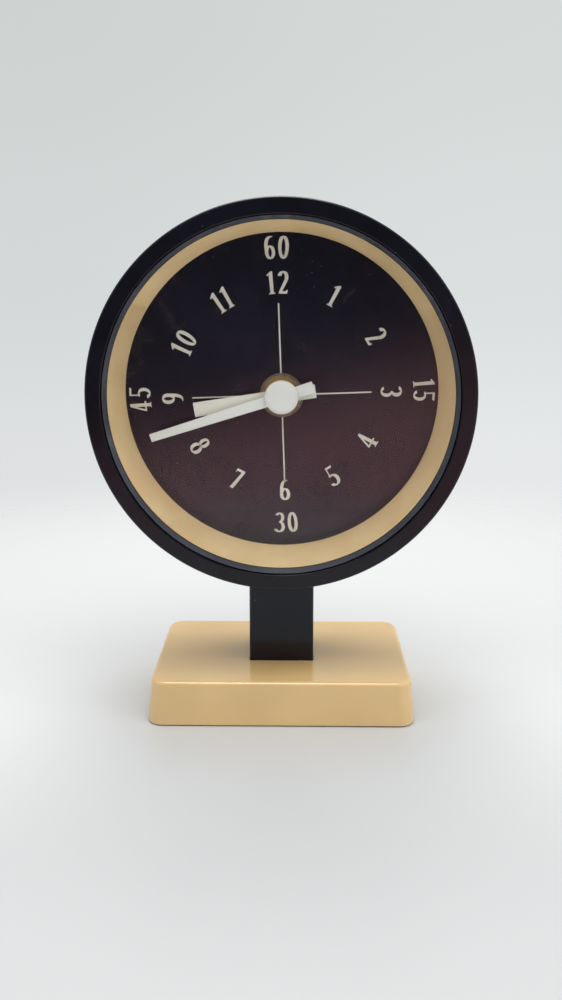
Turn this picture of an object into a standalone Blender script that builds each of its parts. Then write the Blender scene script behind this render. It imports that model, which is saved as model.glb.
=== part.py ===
"""Desk clock: a round black drum on a short stem and a moulded base, with a battery quartz movement.

Metres, +Z up. The origin is the middle of the pad that the base stands on, and the dial faces -Y.
Depths are measured along the clock's axis, from the plane where the front rim is widest towards the back.
"""

import math

import bmesh
import bpy

MM = 0.001

# Running and seating clearances, shared by every piece
FIT_GAP = 0.2 * MM
SEAT_GAP = 0.2 * MM
LOOSE_GAP = 0.3 * MM
CUT_OVERRUN = 2.0 * MM
WELD_DISTANCE = 0.002 * MM
TURN_STEPS = 48
SMALL_TURN_STEPS = 16
HUB_TURN_STEPS = 24
PIVOT_STEPS = 12
SMOOTH_ANGLE = math.radians(35)
FLAT_ANGLE = math.radians(0.1)

# Place of the clock's axis over the table, and of the front rim's plane
AXIS_HEIGHT = 107.5 * MM
RIM_TO_BASE_MIDDLE = 25.2 * MM

# Time on the dial at rest, in hours
REST_HOUR = 8
REST_MINUTE = 42.07

# Drum housing
DRUM_FRONT_RADIUS = 59.7 * MM
DRUM_TAPER = 0.4 * MM
DRUM_WALL = 2.1 * MM
DRUM_DEPTH = 43.0 * MM
DRUM_BACK_EDGE = 0.8 * MM
LEDGE_WIDTH = 4.1 * MM
LEDGE_THICKNESS = 1.8 * MM

# Bezel, the snap-on front rim
BEZEL_OVERHANG = 0.5 * MM
BEZEL_DEPTH = 4.0 * MM
BEZEL_EDGE = 0.8 * MM
BEZEL_FACE_THICKNESS = 2.0 * MM
BEZEL_CATCH_WIDTH = 0.8 * MM
BEZEL_INNER_EDGE = 0.3 * MM
BEZEL_SPIGOT_LENGTH = 3.0 * MM
BEZEL_SPIGOT_WALL = 1.3 * MM

# Crystal, its retaining ring and the funnel between the crystal and the dial
CRYSTAL_THICKNESS = 1.2 * MM
RING_FLANGE_THICKNESS = 0.8 * MM
RING_LAND = 0.25 * MM
RING_FRONT_SETBACK = 0.3 * MM
RING_WIDTH = 1.45 * MM
FUNNEL_INSET = 1.2 * MM
FUNNEL_NARROWING = 2.85 * MM
FUNNEL_WALL = 1.25 * MM
FUNNEL_FLANGE = 0.8 * MM
FUNNEL_BACK_FLANGE = 1.2 * MM

# Dial
DIAL_DEPTH = 20.3 * MM
DIAL_THICKNESS = 0.8 * MM

# Rear cover, its screws and the rails of the battery door
COVER_THICKNESS = 1.8 * MM
COVER_SCREWS = 3
COVER_BOSS_RADIUS = 3.6 * MM
COVER_BOSS_INSET = 3.3 * MM
KNOB_WINDOW_GAP = 1.0 * MM
SCREW_SHAFT_RADIUS = 1.1 * MM
SCREW_HEAD_RADIUS = 2.5 * MM
SCREW_HEAD_HEIGHT = 1.4 * MM
SCREW_LENGTH = 8.0 * MM
SCREW_SLOT_WIDTH = 0.7 * MM
SCREW_SLOT_DEPTH = 0.6 * MM
SCREW_HOLE_GAP = 0.3 * MM
SCREW_TIP_GAP = 1.1 * MM
BATTERY_WINDOW_INSET = 0.2 * MM
DOOR_SIDE_LAP = 1.9 * MM
DOOR_HEIGHT_LAP = 1.95 * MM
DOOR_THICKNESS = 0.8 * MM
DOOR_MIDDLE_THICKNESS = 1.4 * MM
DOOR_EDGE_STRIP = 1.3 * MM
DOOR_RIM_GAP = 1.9 * MM
DOOR_GRIPS = 4
DOOR_GRIP_PITCH = 1.5 * MM
DOOR_GRIP_WIDTH = 16.0 * MM
DOOR_GRIP_HEIGHT = 0.7 * MM
DOOR_GRIP_RISE = 0.3 * MM
RAIL_WIDTH = 2.2 * MM
RAIL_LIP_THICKNESS = 0.8 * MM
STOP_WIDTH = 12.0 * MM
STOP_HEIGHT = 1.2 * MM

# Base, stem, ballast and pad
BASE_WIDTH = 89.9 * MM
BASE_DEPTH = 57.6 * MM
BASE_TOP_HEIGHT = 15.3 * MM
BASE_TOP_INSET = 1.4 * MM
BASE_CORNER_RADIUS = 5.4 * MM
BASE_TOP_EDGE = 1.5 * MM
BASE_FOOT_EDGE = 0.6 * MM
BASE_WALL = 2.8 * MM
BASE_RIM_LIFT = 0.3 * MM
PAD_THICKNESS = 1.2 * MM
PAD_SIDE_INSET = 10.95 * MM
PAD_FRONT_INSET = 7.8 * MM
PAD_CORNER = 4.0 * MM
BASE_COVER_THICKNESS = 1.6 * MM
BASE_BOSS_RADIUS = 2.8 * MM
BASE_BOSS_INSET = 7.35 * MM
BALLAST_THICKNESS = 5.4 * MM
BALLAST_SIDE_GAP = 2.6 * MM
BALLAST_EDGE = 0.8 * MM
PEDESTAL_SIDE_WALL = 2.9 * MM
PEDESTAL_FRONT_WALL = 2.6 * MM
PEDESTAL_DROP = 2.0 * MM
SOCKET_DEPTH = 1.0 * MM
STEM_FOOT_WIDTH = 22.2 * MM
STEM_FOOT_DEPTH = 19.2 * MM
STEM_SIDE_DRAFT = 0.1 * MM
STEM_FRONT_DRAFT = 0.2 * MM
STEM_EDGE = 1.0 * MM
STEM_POCKET_WIDTH = 3.9 * MM
STEM_WALL = 2.6 * MM
STEM_WEB = 6.4 * MM
STEM_POCKET_HEIGHT = 16.0 * MM
STEM_FOOT_SCREW_SPREAD = 4.2 * MM
STEM_TOP_SCREW_SPREAD = 5.4 * MM
STEM_TOP_SCREW_SETBACK = 4.4 * MM

# Movement case
WASHER_RADIUS = 9.0 * MM
CUSHION_THICKNESS = 0.8 * MM
CASE_CORNER = 3.0 * MM
CASE_WALL = 1.0 * MM
CASE_BACK_THICKNESS = 1.2 * MM
CASE_DEPTH_ROOM = 2.0 * MM
PLATE_THICKNESS = 1.2 * MM
BUSH_RADIUS = 4.0 * MM
BUSH_TIP_DEPTH = 18.0 * MM
NUT_RADIUS = 6.1 * MM
NUT_THICKNESS = 1.2 * MM
DIAL_WASHER_RADIUS = 6.95 * MM
DIAL_WASHER_THICKNESS = 0.7 * MM
POST_RADIUS = 1.8 * MM
PILLAR_RADIUS = 1.5 * MM
TRAIN_PLATE_SETBACK = 5.2 * MM
TRAIN_PLATE_THICKNESS = 1.0 * MM
TRAIN_PLATE_LEFT = 20.0 * MM
TRAIN_PLATE_SIDE_GAP = 1.8 * MM
TRAIN_PLATE_TOP_GAP = 1.4 * MM
TRAIN_PLATE_BOTTOM = 10.4 * MM

# Teeth
CANNON_TEETH, MOTION_TEETH = 8, 24
MOTION_PINION_TEETH, HOUR_TEETH = 8, 32
MOTION_MODULE = 0.75 * MM
CENTRE_TEETH, THIRD_PINION_TEETH = 48, 6
THIRD_TEETH, FOURTH_PINION_TEETH = 45, 6
FOURTH_TEETH, INTERMEDIATE_PINION_TEETH = 36, 6
INTERMEDIATE_TEETH, ROTOR_PINION_TEETH = 30, 6
CENTRE_MODULE = 0.4 * MM
TRAIN_MODULE = 0.33 * MM
ADDENDUM_SHARE = 0.8
DEDENDUM_SHARE = 1.15
TOOTH_BACKLASH_SHARE = 0.1
WHEEL_ROOT_SHARE = 1.4
PINION_TIP_SHARE = 0.6
PINION_ROOT_SHARE = 0.9
LEAST_WHEEL_TEETH = 20

# Directions of the arbors, as clock angles seen from the front, one from the next
MOTION_BEARING = math.radians(70.0)
THIRD_BEARING = math.radians(280.0)
FOURTH_BEARING = math.radians(350.0)
INTERMEDIATE_BEARING = math.radians(60.0)
ROTOR_BEARING = math.radians(70.0)

# Wheels and arbors
WHEEL_THICKNESS = 1.2 * MM
FINE_WHEEL_THICKNESS = 0.8 * MM
LAYER_GAP = 0.4 * MM
PINION_OVERLAP = 0.3 * MM
PIVOT_RADIUS = 0.4 * MM
ARBOR_RADIUS = 0.55 * MM
PIVOT_GAP = 0.15 * MM
PIVOT_ENTRY = 0.6 * MM
MINUTE_ARBOR_RADIUS = 1.4 * MM
CENTRE_ARBOR_RADIUS = 1.0 * MM
HOUR_PIPE_RADIUS = 2.6 * MM
HOUR_PIPE_BORE = 1.7 * MM
PIPE_GAP = 0.3 * MM
MOTION_ARBOR_RADIUS = 1.2 * MM
CENTRE_HUB_RADIUS = 2.2 * MM
CENTRE_HUB_LENGTH = 0.9 * MM
ROTOR_MAGNET_RADIUS = 3.0 * MM
ROTOR_MAGNET_LENGTH = 3.2 * MM
HOUR_WHEEL_HOLES = 4
HOUR_WHEEL_HOLE_RADIUS = 1.7 * MM
HOUR_WHEEL_HOLE_CIRCLE = 6.0 * MM

# Stator, coil and electronics
STATOR_STANDOFF = 2.0 * MM
STATOR_THICKNESS = 1.0 * MM
STATOR_LEFT = 4.8 * MM
STATOR_SIDE_GAP = 1.5 * MM
STATOR_BOTTOM = 11.6 * MM
STATOR_TOP_GAP = 1.0 * MM
STATOR_HOLE_GAP = 0.6 * MM
COIL_RADIUS = 3.2 * MM
COIL_FLANGE = 0.9 * MM
COIL_WIRE_RADIUS = 2.8 * MM
COIL_EAR_GAP = 0.8 * MM
COIL_BORE_HALF_HEIGHT = 1.5 * MM
COIL_BORE_HALF_DEPTH = 0.9 * MM
COIL_LEFT = 0.3 * MM
COIL_DROP = 2.6 * MM
CORE_HALF_HEIGHT = 1.2 * MM
CORE_THICKNESS = 1.2 * MM
EAR_WIDTH = 4.4 * MM
BOARD_WIDTH = 10.6 * MM
BOARD_SIDE_GAP = 0.8 * MM
BOARD_TOP = 10.6 * MM
BOARD_BOTTOM = 10.2 * MM
BOARD_THICKNESS = 0.8 * MM
RESONATOR_RADIUS = 1.5 * MM
RESONATOR_LENGTH = 6.2 * MM
RESONATOR_EDGE = 0.3 * MM
RESONATOR_DROP = 4.6 * MM
CHIP_WIDTH = 4.6 * MM
CHIP_THICKNESS = 1.0 * MM
CHIP_MARGIN = 1.2 * MM
CHIP_RISE = 4.6 * MM

# Battery, contacts and the bay around them
BATTERY_RADIUS = 7.1 * MM
BATTERY_LENGTH = 49.3 * MM
BATTERY_NUB_RADIUS = 2.7 * MM
BATTERY_NUB_LENGTH = 1.0 * MM
BATTERY_EDGE = 0.6 * MM
BAY_ROOM = 0.7 * MM
CONTACT_SPRING_LENGTH = 1.7 * MM
CONTACT_THICKNESS = 0.4 * MM
CONTACT_WIDTH = 11.0 * MM
CONTACT_RADIUS = 5.4 * MM
CONTACT_SPRING_RADIUS = 3.4 * MM
CONTACT_SPRING_TIP_RADIUS = 2.2 * MM

# Hands
HAND_THICKNESS = 0.5 * MM
MINUTE_HAND_DEPTH = 14.9 * MM
MINUTE_HAND_RIM_GAP = 6.35 * MM
MINUTE_HAND_TAIL = 10.8 * MM
MINUTE_HAND_TIP_WIDTH = 2.65 * MM
MINUTE_HAND_TAIL_WIDTH = 3.8 * MM
HOUR_HAND_DEPTH = 16.7 * MM
HOUR_HAND_LENGTH = 28.9 * MM
HOUR_HAND_TAIL = 11.2 * MM
HOUR_HAND_TIP_WIDTH = 4.7 * MM
HOUR_HAND_TAIL_WIDTH = 4.4 * MM
HAND_HUB_RADIUS = 4.85 * MM
HAND_COLLAR_WALL = 0.5 * MM
HAND_GRIP_GAP = 0.1 * MM
CAP_RADIUS = 5.45 * MM
CAP_TOP_RADIUS = 4.5 * MM
CAP_THICKNESS = 1.2 * MM
CAP_CHAMFER = 0.4 * MM

# Setting knob
KNOB_RADIUS = 6.4 * MM
KNOB_LENGTH = 6.4 * MM
KNOB_FLUTES = 18
KNOB_FLUTE_DEPTH = 0.45 * MM
KNOB_BORE_DEPTH = 3.4 * MM

# Places that follow from the sizes above
RIM_Y = -RIM_TO_BASE_MIDDLE
DRUM_BACK_RADIUS = DRUM_FRONT_RADIUS - DRUM_TAPER
DRUM_BORE_RADIUS = DRUM_FRONT_RADIUS - DRUM_WALL
LEDGE_INNER_RADIUS = DRUM_BORE_RADIUS - LEDGE_WIDTH
BEZEL_RADIUS = DRUM_FRONT_RADIUS + BEZEL_OVERHANG
COVER_BOSS_CIRCLE = DRUM_BORE_RADIUS - COVER_BOSS_INSET
FLANGE_RADIUS = DRUM_BORE_RADIUS - LOOSE_GAP
SPIGOT_RADIUS = DRUM_BORE_RADIUS - FIT_GAP
SPIGOT_BORE = SPIGOT_RADIUS - BEZEL_SPIGOT_WALL
GLASS_RADIUS = SPIGOT_BORE - LOOSE_GAP
BEZEL_OPENING_RADIUS = SPIGOT_BORE - BEZEL_CATCH_WIDTH
RING_INNER_RADIUS = BEZEL_OPENING_RADIUS - RING_WIDTH
FUNNEL_FRONT_RADIUS = BEZEL_OPENING_RADIUS - FUNNEL_INSET
FUNNEL_BACK_RADIUS = FUNNEL_FRONT_RADIUS - FUNNEL_NARROWING
MINUTE_HAND_LENGTH = FUNNEL_BACK_RADIUS - MINUTE_HAND_RIM_GAP
DRUM_FRONT_DEPTH = BEZEL_DEPTH + FIT_GAP
RING_FLANGE_DEPTH = BEZEL_FACE_THICKNESS + SEAT_GAP
RING_BACK_DEPTH = RING_FLANGE_DEPTH + RING_FLANGE_THICKNESS
CRYSTAL_DEPTH = RING_BACK_DEPTH + SEAT_GAP
FUNNEL_DEPTH = CRYSTAL_DEPTH + CRYSTAL_THICKNESS + SEAT_GAP
FUNNEL_BACK_DEPTH = DIAL_DEPTH - SEAT_GAP
DIAL_BACK_DEPTH = DIAL_DEPTH + DIAL_THICKNESS
LEDGE_DEPTH = DIAL_BACK_DEPTH + SEAT_GAP
CUSHION_DEPTH = DIAL_BACK_DEPTH + SEAT_GAP
PLATE_DEPTH = CUSHION_DEPTH + CUSHION_THICKNESS + SEAT_GAP
PLATE_BACK = PLATE_DEPTH + PLATE_THICKNESS
CASE_FRONT = PLATE_BACK + SEAT_GAP
CASE_BACK = PLATE_DEPTH + 2 * BATTERY_RADIUS + CASE_DEPTH_ROOM + SEAT_GAP
CASE_BACK_INNER = CASE_BACK - CASE_BACK_THICKNESS
CONTACT_ROOM = CONTACT_THICKNESS + 2 * LOOSE_GAP
CHAMBER_HALF = (
    BATTERY_LENGTH + BATTERY_NUB_LENGTH + CONTACT_SPRING_LENGTH + 2 * CONTACT_ROOM
) / 2
CASE_HALF = CHAMBER_HALF + CASE_WALL
COVER_DEPTH = CASE_BACK + SEAT_GAP
COVER_BACK = COVER_DEPTH + COVER_THICKNESS
BOSS_BACK = COVER_DEPTH - SEAT_GAP
DOOR_DEPTH = COVER_BACK + SEAT_GAP
SCREW_HEAD_DEPTH = COVER_BACK + SEAT_GAP
DIAL_WASHER_DEPTH = DIAL_DEPTH - SEAT_GAP - DIAL_WASHER_THICKNESS
NUT_DEPTH = DIAL_WASHER_DEPTH - SEAT_GAP - NUT_THICKNESS

# Layers of the wheels, from the front plate back
HOUR_LAYER = PLATE_BACK + LAYER_GAP
CANNON_LAYER = HOUR_LAYER + WHEEL_THICKNESS + LAYER_GAP
MOTION_LAYER = CANNON_LAYER + LAYER_GAP
MOTION_BACK = MOTION_LAYER + WHEEL_THICKNESS
CANNON_BACK = MOTION_BACK + LAYER_GAP
TRAIN_PLATE_DEPTH = PLATE_BACK + TRAIN_PLATE_SETBACK
TRAIN_PLATE_BACK = TRAIN_PLATE_DEPTH + TRAIN_PLATE_THICKNESS
CENTRE_LAYER = TRAIN_PLATE_BACK + LAYER_GAP
CENTRE_BACK = CENTRE_LAYER + FINE_WHEEL_THICKNESS
THIRD_LAYER = CENTRE_BACK + LAYER_GAP + PINION_OVERLAP
THIRD_BACK = THIRD_LAYER + FINE_WHEEL_THICKNESS
FOURTH_LAYER = THIRD_BACK + LAYER_GAP + PINION_OVERLAP
FOURTH_BACK = FOURTH_LAYER + FINE_WHEEL_THICKNESS
INTERMEDIATE_LAYER = FOURTH_BACK + LAYER_GAP + PINION_OVERLAP
INTERMEDIATE_BACK = INTERMEDIATE_LAYER + FINE_WHEEL_THICKNESS
ARBOR_END = CASE_BACK_INNER + PIVOT_ENTRY
TRAIN_PLATE_RIGHT = CHAMBER_HALF - TRAIN_PLATE_SIDE_GAP
TRAIN_PLATE_TOP = CHAMBER_HALF - TRAIN_PLATE_TOP_GAP
STATOR_RIGHT = CHAMBER_HALF - STATOR_SIDE_GAP
STATOR_TOP = CHAMBER_HALF - STATOR_TOP_GAP
COIL_AXIS_RISE = STATOR_TOP - COIL_DROP
COIL_LENGTH = STATOR_RIGHT - EAR_WIDTH - COIL_EAR_GAP - COIL_LEFT
BOARD_RIGHT = CHAMBER_HALF - BOARD_SIDE_GAP
BOARD_LEFT = BOARD_RIGHT - BOARD_WIDTH
STATOR_DEPTH = TRAIN_PLATE_BACK + STATOR_STANDOFF
CORE_DEPTH = STATOR_DEPTH + STATOR_THICKNESS + SEAT_GAP

# Battery bay and its door, with the bay's top and bottom below the clock's axis
BAY_HALF_LENGTH = CHAMBER_HALF
BAY_BOTTOM = CHAMBER_HALF
BAY_TOP = BAY_BOTTOM - 2 * BATTERY_RADIUS - BAY_ROOM
BAY_MIDDLE = -(BAY_TOP + BAY_BOTTOM) / 2
BATTERY_DEPTH = (PLATE_BACK + CASE_BACK) / 2
DOOR_WIDTH = 2 * (BAY_HALF_LENGTH + DOOR_SIDE_LAP)
DOOR_HEIGHT = BAY_BOTTOM - BAY_TOP + 2 * DOOR_HEIGHT_LAP
DOOR_MIDDLE = BAY_MIDDLE - LOOSE_GAP
DOOR_REACH = math.sqrt((FLANGE_RADIUS - DOOR_RIM_GAP) ** 2 - (DOOR_WIDTH / 2) ** 2)
DOOR_TRAVEL = DOOR_REACH + DOOR_MIDDLE - DOOR_HEIGHT / 2

# Base and stem
PAD_WIDTH = BASE_WIDTH - 2 * PAD_SIDE_INSET
PAD_DEPTH = BASE_DEPTH - 2 * PAD_FRONT_INSET
BASE_BOSS_SPREAD = BASE_WIDTH / 2 - BASE_BOSS_INSET
PEDESTAL_WIDTH = STEM_FOOT_WIDTH + 2 * PEDESTAL_SIDE_WALL
PEDESTAL_DEPTH = STEM_FOOT_DEPTH + 2 * PEDESTAL_FRONT_WALL
STEM_TOP_WIDTH = STEM_FOOT_WIDTH - 2 * STEM_SIDE_DRAFT
STEM_TOP_DEPTH = STEM_FOOT_DEPTH - 2 * STEM_FRONT_DRAFT
STEM_POCKET_DEPTH = STEM_FOOT_DEPTH - 2 * STEM_WALL
BASE_COVER_HEIGHT = PAD_THICKNESS + SEAT_GAP
COVER_TOP_HEIGHT = BASE_COVER_HEIGHT + BASE_COVER_THICKNESS
BALLAST_HEIGHT = COVER_TOP_HEIGHT + SEAT_GAP
SOCKET_FLOOR = BASE_TOP_HEIGHT - SOCKET_DEPTH
STEM_FOOT_HEIGHT = SOCKET_FLOOR + SEAT_GAP
STEM_TOP_HEIGHT = AXIS_HEIGHT - math.sqrt(
    DRUM_FRONT_RADIUS**2 - (STEM_TOP_WIDTH / 2) ** 2
)
PEDESTAL_HEIGHT = BASE_TOP_HEIGHT - BASE_WALL - PEDESTAL_DROP


def clock_place(bearing, distance, start=(0.0, 0.0)):
    """The (x, height over the axis) that lies at a distance and a clock angle from a start."""
    return start[0] + distance * math.sin(bearing), start[1] + distance * math.cos(bearing)


def mesh_distance(module, first_teeth, second_teeth):
    """Distance between the axes of two wheels in mesh."""
    return module * (first_teeth + second_teeth) / 2


MOTION_DISTANCE = mesh_distance(MOTION_MODULE, CANNON_TEETH, MOTION_TEETH)
HOUR_MODULE = 2 * MOTION_DISTANCE / (MOTION_PINION_TEETH + HOUR_TEETH)
CENTRE_AT = (0.0, 0.0)
MOTION_AT = clock_place(MOTION_BEARING, MOTION_DISTANCE)
THIRD_AT = clock_place(
    THIRD_BEARING, mesh_distance(CENTRE_MODULE, CENTRE_TEETH, THIRD_PINION_TEETH)
)
FOURTH_AT = clock_place(
    FOURTH_BEARING, mesh_distance(TRAIN_MODULE, THIRD_TEETH, FOURTH_PINION_TEETH), THIRD_AT
)
INTERMEDIATE_AT = clock_place(
    INTERMEDIATE_BEARING,
    mesh_distance(TRAIN_MODULE, FOURTH_TEETH, INTERMEDIATE_PINION_TEETH),
    FOURTH_AT,
)
ROTOR_AT = clock_place(
    ROTOR_BEARING,
    mesh_distance(TRAIN_MODULE, INTERMEDIATE_TEETH, ROTOR_PINION_TEETH),
    INTERMEDIATE_AT,
)
MINUTE_ANGLE = math.radians(360 * REST_MINUTE / 60)
HOUR_ANGLE = math.radians(360 * (REST_HOUR + REST_MINUTE / 60) / 12)


# Scene and materials


def clear_scene():
    for obj in list(bpy.data.objects):
        bpy.data.objects.remove(obj, do_unlink=True)


def new_collection(name):
    collection = bpy.data.collections.new(name)
    bpy.context.scene.collection.children.link(collection)
    return collection


def plastic(name, color, roughness, metallic=0.0, transmission=0.0):
    """A Principled material in one colour."""
    material = bpy.data.materials.new(name)
    material.use_nodes = True
    shader = material.node_tree.nodes["Principled BSDF"]
    shader.inputs["Base Color"].default_value = (*color, 1.0)
    shader.inputs["Roughness"].default_value = roughness
    shader.inputs["Metallic"].default_value = metallic
    shader.inputs["Transmission Weight"].default_value = transmission
    material.diffuse_color = (*color, 1.0)
    return material


# Solids from Blender's own tools


def add_object(name, mesh, material, collection):
    obj = bpy.data.objects.new(name, mesh)
    if material is not None:
        mesh.materials.append(material)
    collection.objects.link(obj)
    return obj


def smooth(obj):
    obj.data.shade_smooth()
    obj.data.set_sharp_from_angle(angle=SMOOTH_ANGLE)


def stand_on_axis(obj, at=CENTRE_AT, turn=0.0):
    """Lays an object's own Z along the clock's axis, facing the front, at a place beside that axis."""
    obj.location = (at[0], RIM_Y, AXIS_HEIGHT + at[1])
    obj.rotation_euler = (math.pi / 2, turn, 0.0)
    return obj


def turned(name, profile, material, collection, steps=TURN_STEPS, closed=True):
    """A turned solid. The profile holds (radius, depth) pairs, down its outer side and back up inside."""
    mesh = bpy.data.meshes.new(name)
    points = [(radius, 0.0, -depth) for radius, depth in profile]
    edges = [(i, i + 1) for i in range(len(points) - 1)]
    if closed:
        edges.append((len(points) - 1, 0))
    mesh.from_pydata(points, edges, [])
    obj = add_object(name, mesh, material, collection)
    screw = obj.modifiers.new("Turn", "SCREW")
    screw.axis = "Z"
    screw.steps = steps
    screw.render_steps = steps
    screw.use_merge_vertices = True
    screw.merge_threshold = WELD_DISTANCE
    screw.use_smooth_shade = False
    return obj


def disc(name, radius, front, back, material, collection, steps=TURN_STEPS):
    """A plain round plate between two depths, with one flat face at each end."""
    mesh = bpy.data.meshes.new(name)
    shape = bmesh.new()
    bmesh.ops.create_cone(
        shape, cap_ends=True, segments=steps, radius1=radius, radius2=radius, depth=back - front
    )
    bmesh.ops.translate(shape, vec=(0.0, 0.0, -(front + back) / 2), verts=shape.verts)
    shape.to_mesh(mesh)
    shape.free()
    return add_object(name, mesh, material, collection)


def ring(name, outer, inner, front, back, material, collection, steps=TURN_STEPS):
    profile = [(outer, front), (outer, back), (inner, back), (inner, front)]
    return turned(name, profile, material, collection, steps)


def block(name, low, high, material, collection, corner=0.0, along="Y", segments=2):
    """A box between two corners, with the edges along one axis rounded."""
    mesh = bpy.data.meshes.new(name)
    shape = bmesh.new()
    bmesh.ops.create_cube(shape, size=1.0)
    size = [top - bottom for bottom, top in zip(low, high)]
    middle = [(top + bottom) / 2 for bottom, top in zip(low, high)]
    bmesh.ops.scale(shape, vec=size, verts=shape.verts)
    bmesh.ops.translate(shape, vec=middle, verts=shape.verts)
    if corner:
        lane = "XYZ".index(along)
        edges = [
            edge
            for edge in shape.edges
            if abs((edge.verts[0].co - edge.verts[1].co)[lane]) > WELD_DISTANCE
        ]
        bmesh.ops.bevel(
            shape,
            geom=edges,
            offset=corner,
            offset_type="OFFSET",
            segments=segments,
            profile=0.5,
            affect="EDGES",
        )
    shape.to_mesh(mesh)
    shape.free()
    return add_object(name, mesh, material, collection)


def clock_block(name, left, right, bottom, top, front, back, material, collection, corner=0.0):
    """A box given by its sides beside the clock's axis and its two depths."""
    low = (left, RIM_Y + front, AXIS_HEIGHT + bottom)
    high = (right, RIM_Y + back, AXIS_HEIGHT + top)
    return block(name, low, high, material, collection, corner)


def plate(name, outlines, front, back, material, collection):
    """A flat outline, with holes where further outlines lie inside it, as thick as two depths are apart."""
    curve = bpy.data.curves.new(name, "CURVE")
    curve.dimensions = "2D"
    curve.fill_mode = "BOTH"
    curve.extrude = (back - front) / 2
    for outline in outlines:
        spline = curve.splines.new("POLY")
        spline.points.add(len(outline) - 1)
        spline.use_cyclic_u = True
        for point, (x, y) in zip(spline.points, outline):
            point.co = (x, y, 0.0, 1.0)
    guide = bpy.data.objects.new(name, curve)
    bpy.context.scene.collection.objects.link(guide)
    bpy.context.view_layer.update()
    graph = bpy.context.evaluated_depsgraph_get()
    mesh = bpy.data.meshes.new_from_object(guide.evaluated_get(graph))
    bpy.data.objects.remove(guide, do_unlink=True)
    bpy.data.curves.remove(curve)
    shape = bmesh.new()
    shape.from_mesh(mesh)
    bmesh.ops.remove_doubles(shape, verts=shape.verts, dist=WELD_DISTANCE)
    bmesh.ops.translate(shape, vec=(0.0, 0.0, -(front + back) / 2), verts=shape.verts)
    bmesh.ops.recalc_face_normals(shape, faces=shape.faces)
    bmesh.ops.dissolve_limit(
        shape, angle_limit=FLAT_ANGLE, verts=shape.verts, edges=shape.edges
    )
    shape.to_mesh(mesh)
    shape.free()
    mesh.name = name
    return add_object(name, mesh, material, collection)


def combine(obj, cutters, operation):
    """Adds one Boolean for each helper, which stays in the file as a wire outline."""
    for cutter in cutters:
        cutter.hide_render = True
        cutter.display_type = "WIRE"
        boolean = obj.modifiers.new(operation.title(), "BOOLEAN")
        boolean.operation = operation
        boolean.object = cutter
        boolean.solver = "EXACT"
    return obj


def cut(obj, *cutters):
    return combine(obj, cutters, "DIFFERENCE")


def join(obj, *helpers):
    return combine(obj, helpers, "UNION")


def circle_outline(radius, steps, middle=(0.0, 0.0)):
    turns = [2 * math.pi * i / steps for i in range(steps)]
    return [(middle[0] + radius * math.sin(t), middle[1] + radius * math.cos(t)) for t in turns]


# Teeth


def gear_outline(teeth, module, phase):
    """Outline of a wheel with pointed teeth, or of a pinion, with one tooth at the clock angle phase."""
    pitch_radius = module * teeth / 2
    pitch_half = math.pi / (2 * teeth) * (1 - TOOTH_BACKLASH_SHARE)
    tip_radius = pitch_radius + ADDENDUM_SHARE * module
    root_radius = pitch_radius - DEDENDUM_SHARE * module
    if teeth >= LEAST_WHEEL_TEETH:
        root_half = pitch_half * WHEEL_ROOT_SHARE
        tooth = [(root_radius, -root_half), (tip_radius, 0.0), (root_radius, root_half)]
    else:
        root_half = pitch_half * PINION_ROOT_SHARE
        tip_half = pitch_half * PINION_TIP_SHARE
        tooth = [
            (root_radius, -root_half),
            (tip_radius, -tip_half),
            (tip_radius, tip_half),
            (root_radius, root_half),
        ]
    turns = [phase + 2 * math.pi * i / teeth for i in range(teeth)]
    return [
        (radius * math.sin(turn + offset), radius * math.cos(turn + offset))
        for turn in turns
        for radius, offset in tooth
    ]


def tooth_phase(bearing):
    """A tooth points along the line to the next axis."""
    return bearing


def gap_phase(bearing, teeth):
    """A gap points back along the line to the axis that drives it."""
    return bearing + math.pi + math.pi / teeth


def gear_solid(name, teeth, module, phase, front, back, material, collection, holes=()):
    return plate(name, [gear_outline(teeth, module, phase), *holes], front, back, material, collection)


def arbor(name, steps_of_profile, material, collection, steps=PIVOT_STEPS):
    """A stepped round shaft, solid through its middle. Each step is (radius, front depth, back depth)."""
    profile = [(0.0, steps_of_profile[0][1])]
    for radius, front, back in steps_of_profile:
        profile.append((radius, front))
        profile.append((radius, back))
    profile.append((0.0, steps_of_profile[-1][2]))
    return turned(name, profile, material, collection, steps, closed=False)


# Screws


def pan_screw(name, place, rotation, material, collection, cutters):
    """A pan-head screw whose seat is the origin: the head above it, the shaft below, along its own Z."""
    crown = SCREW_HEAD_HEIGHT / 2
    profile = [
        (0.0, -SCREW_HEAD_HEIGHT),
        (SCREW_HEAD_RADIUS - crown, -SCREW_HEAD_HEIGHT),
        (SCREW_HEAD_RADIUS, -crown),
        (SCREW_HEAD_RADIUS, 0.0),
        (SCREW_SHAFT_RADIUS, 0.0),
        (SCREW_SHAFT_RADIUS, SCREW_LENGTH - SCREW_SHAFT_RADIUS),
        (0.0, SCREW_LENGTH),
    ]
    obj = turned(name, profile, material, collection, PIVOT_STEPS, closed=False)
    slot_half = SCREW_SLOT_WIDTH / 2
    reach = SCREW_HEAD_RADIUS + CUT_OVERRUN
    floor = SCREW_HEAD_HEIGHT - SCREW_SLOT_DEPTH
    slot = block(
        name + "_slot",
        (-reach, -slot_half, floor),
        (reach, slot_half, SCREW_HEAD_HEIGHT + CUT_OVERRUN),
        None,
        cutters,
    )
    cut(obj, slot)
    for each in (obj, slot):
        each.location = place
        each.rotation_euler = rotation
    return obj


# Case pieces, from the front to the back


def edge_arc(radius, front, edge):
    """Three points round the front outer edge of a turned piece."""
    middle = edge * math.sin(math.radians(45))
    return [
        (radius - edge, front),
        (radius - edge + middle, front + edge - middle),
        (radius, front + edge),
    ]


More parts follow.
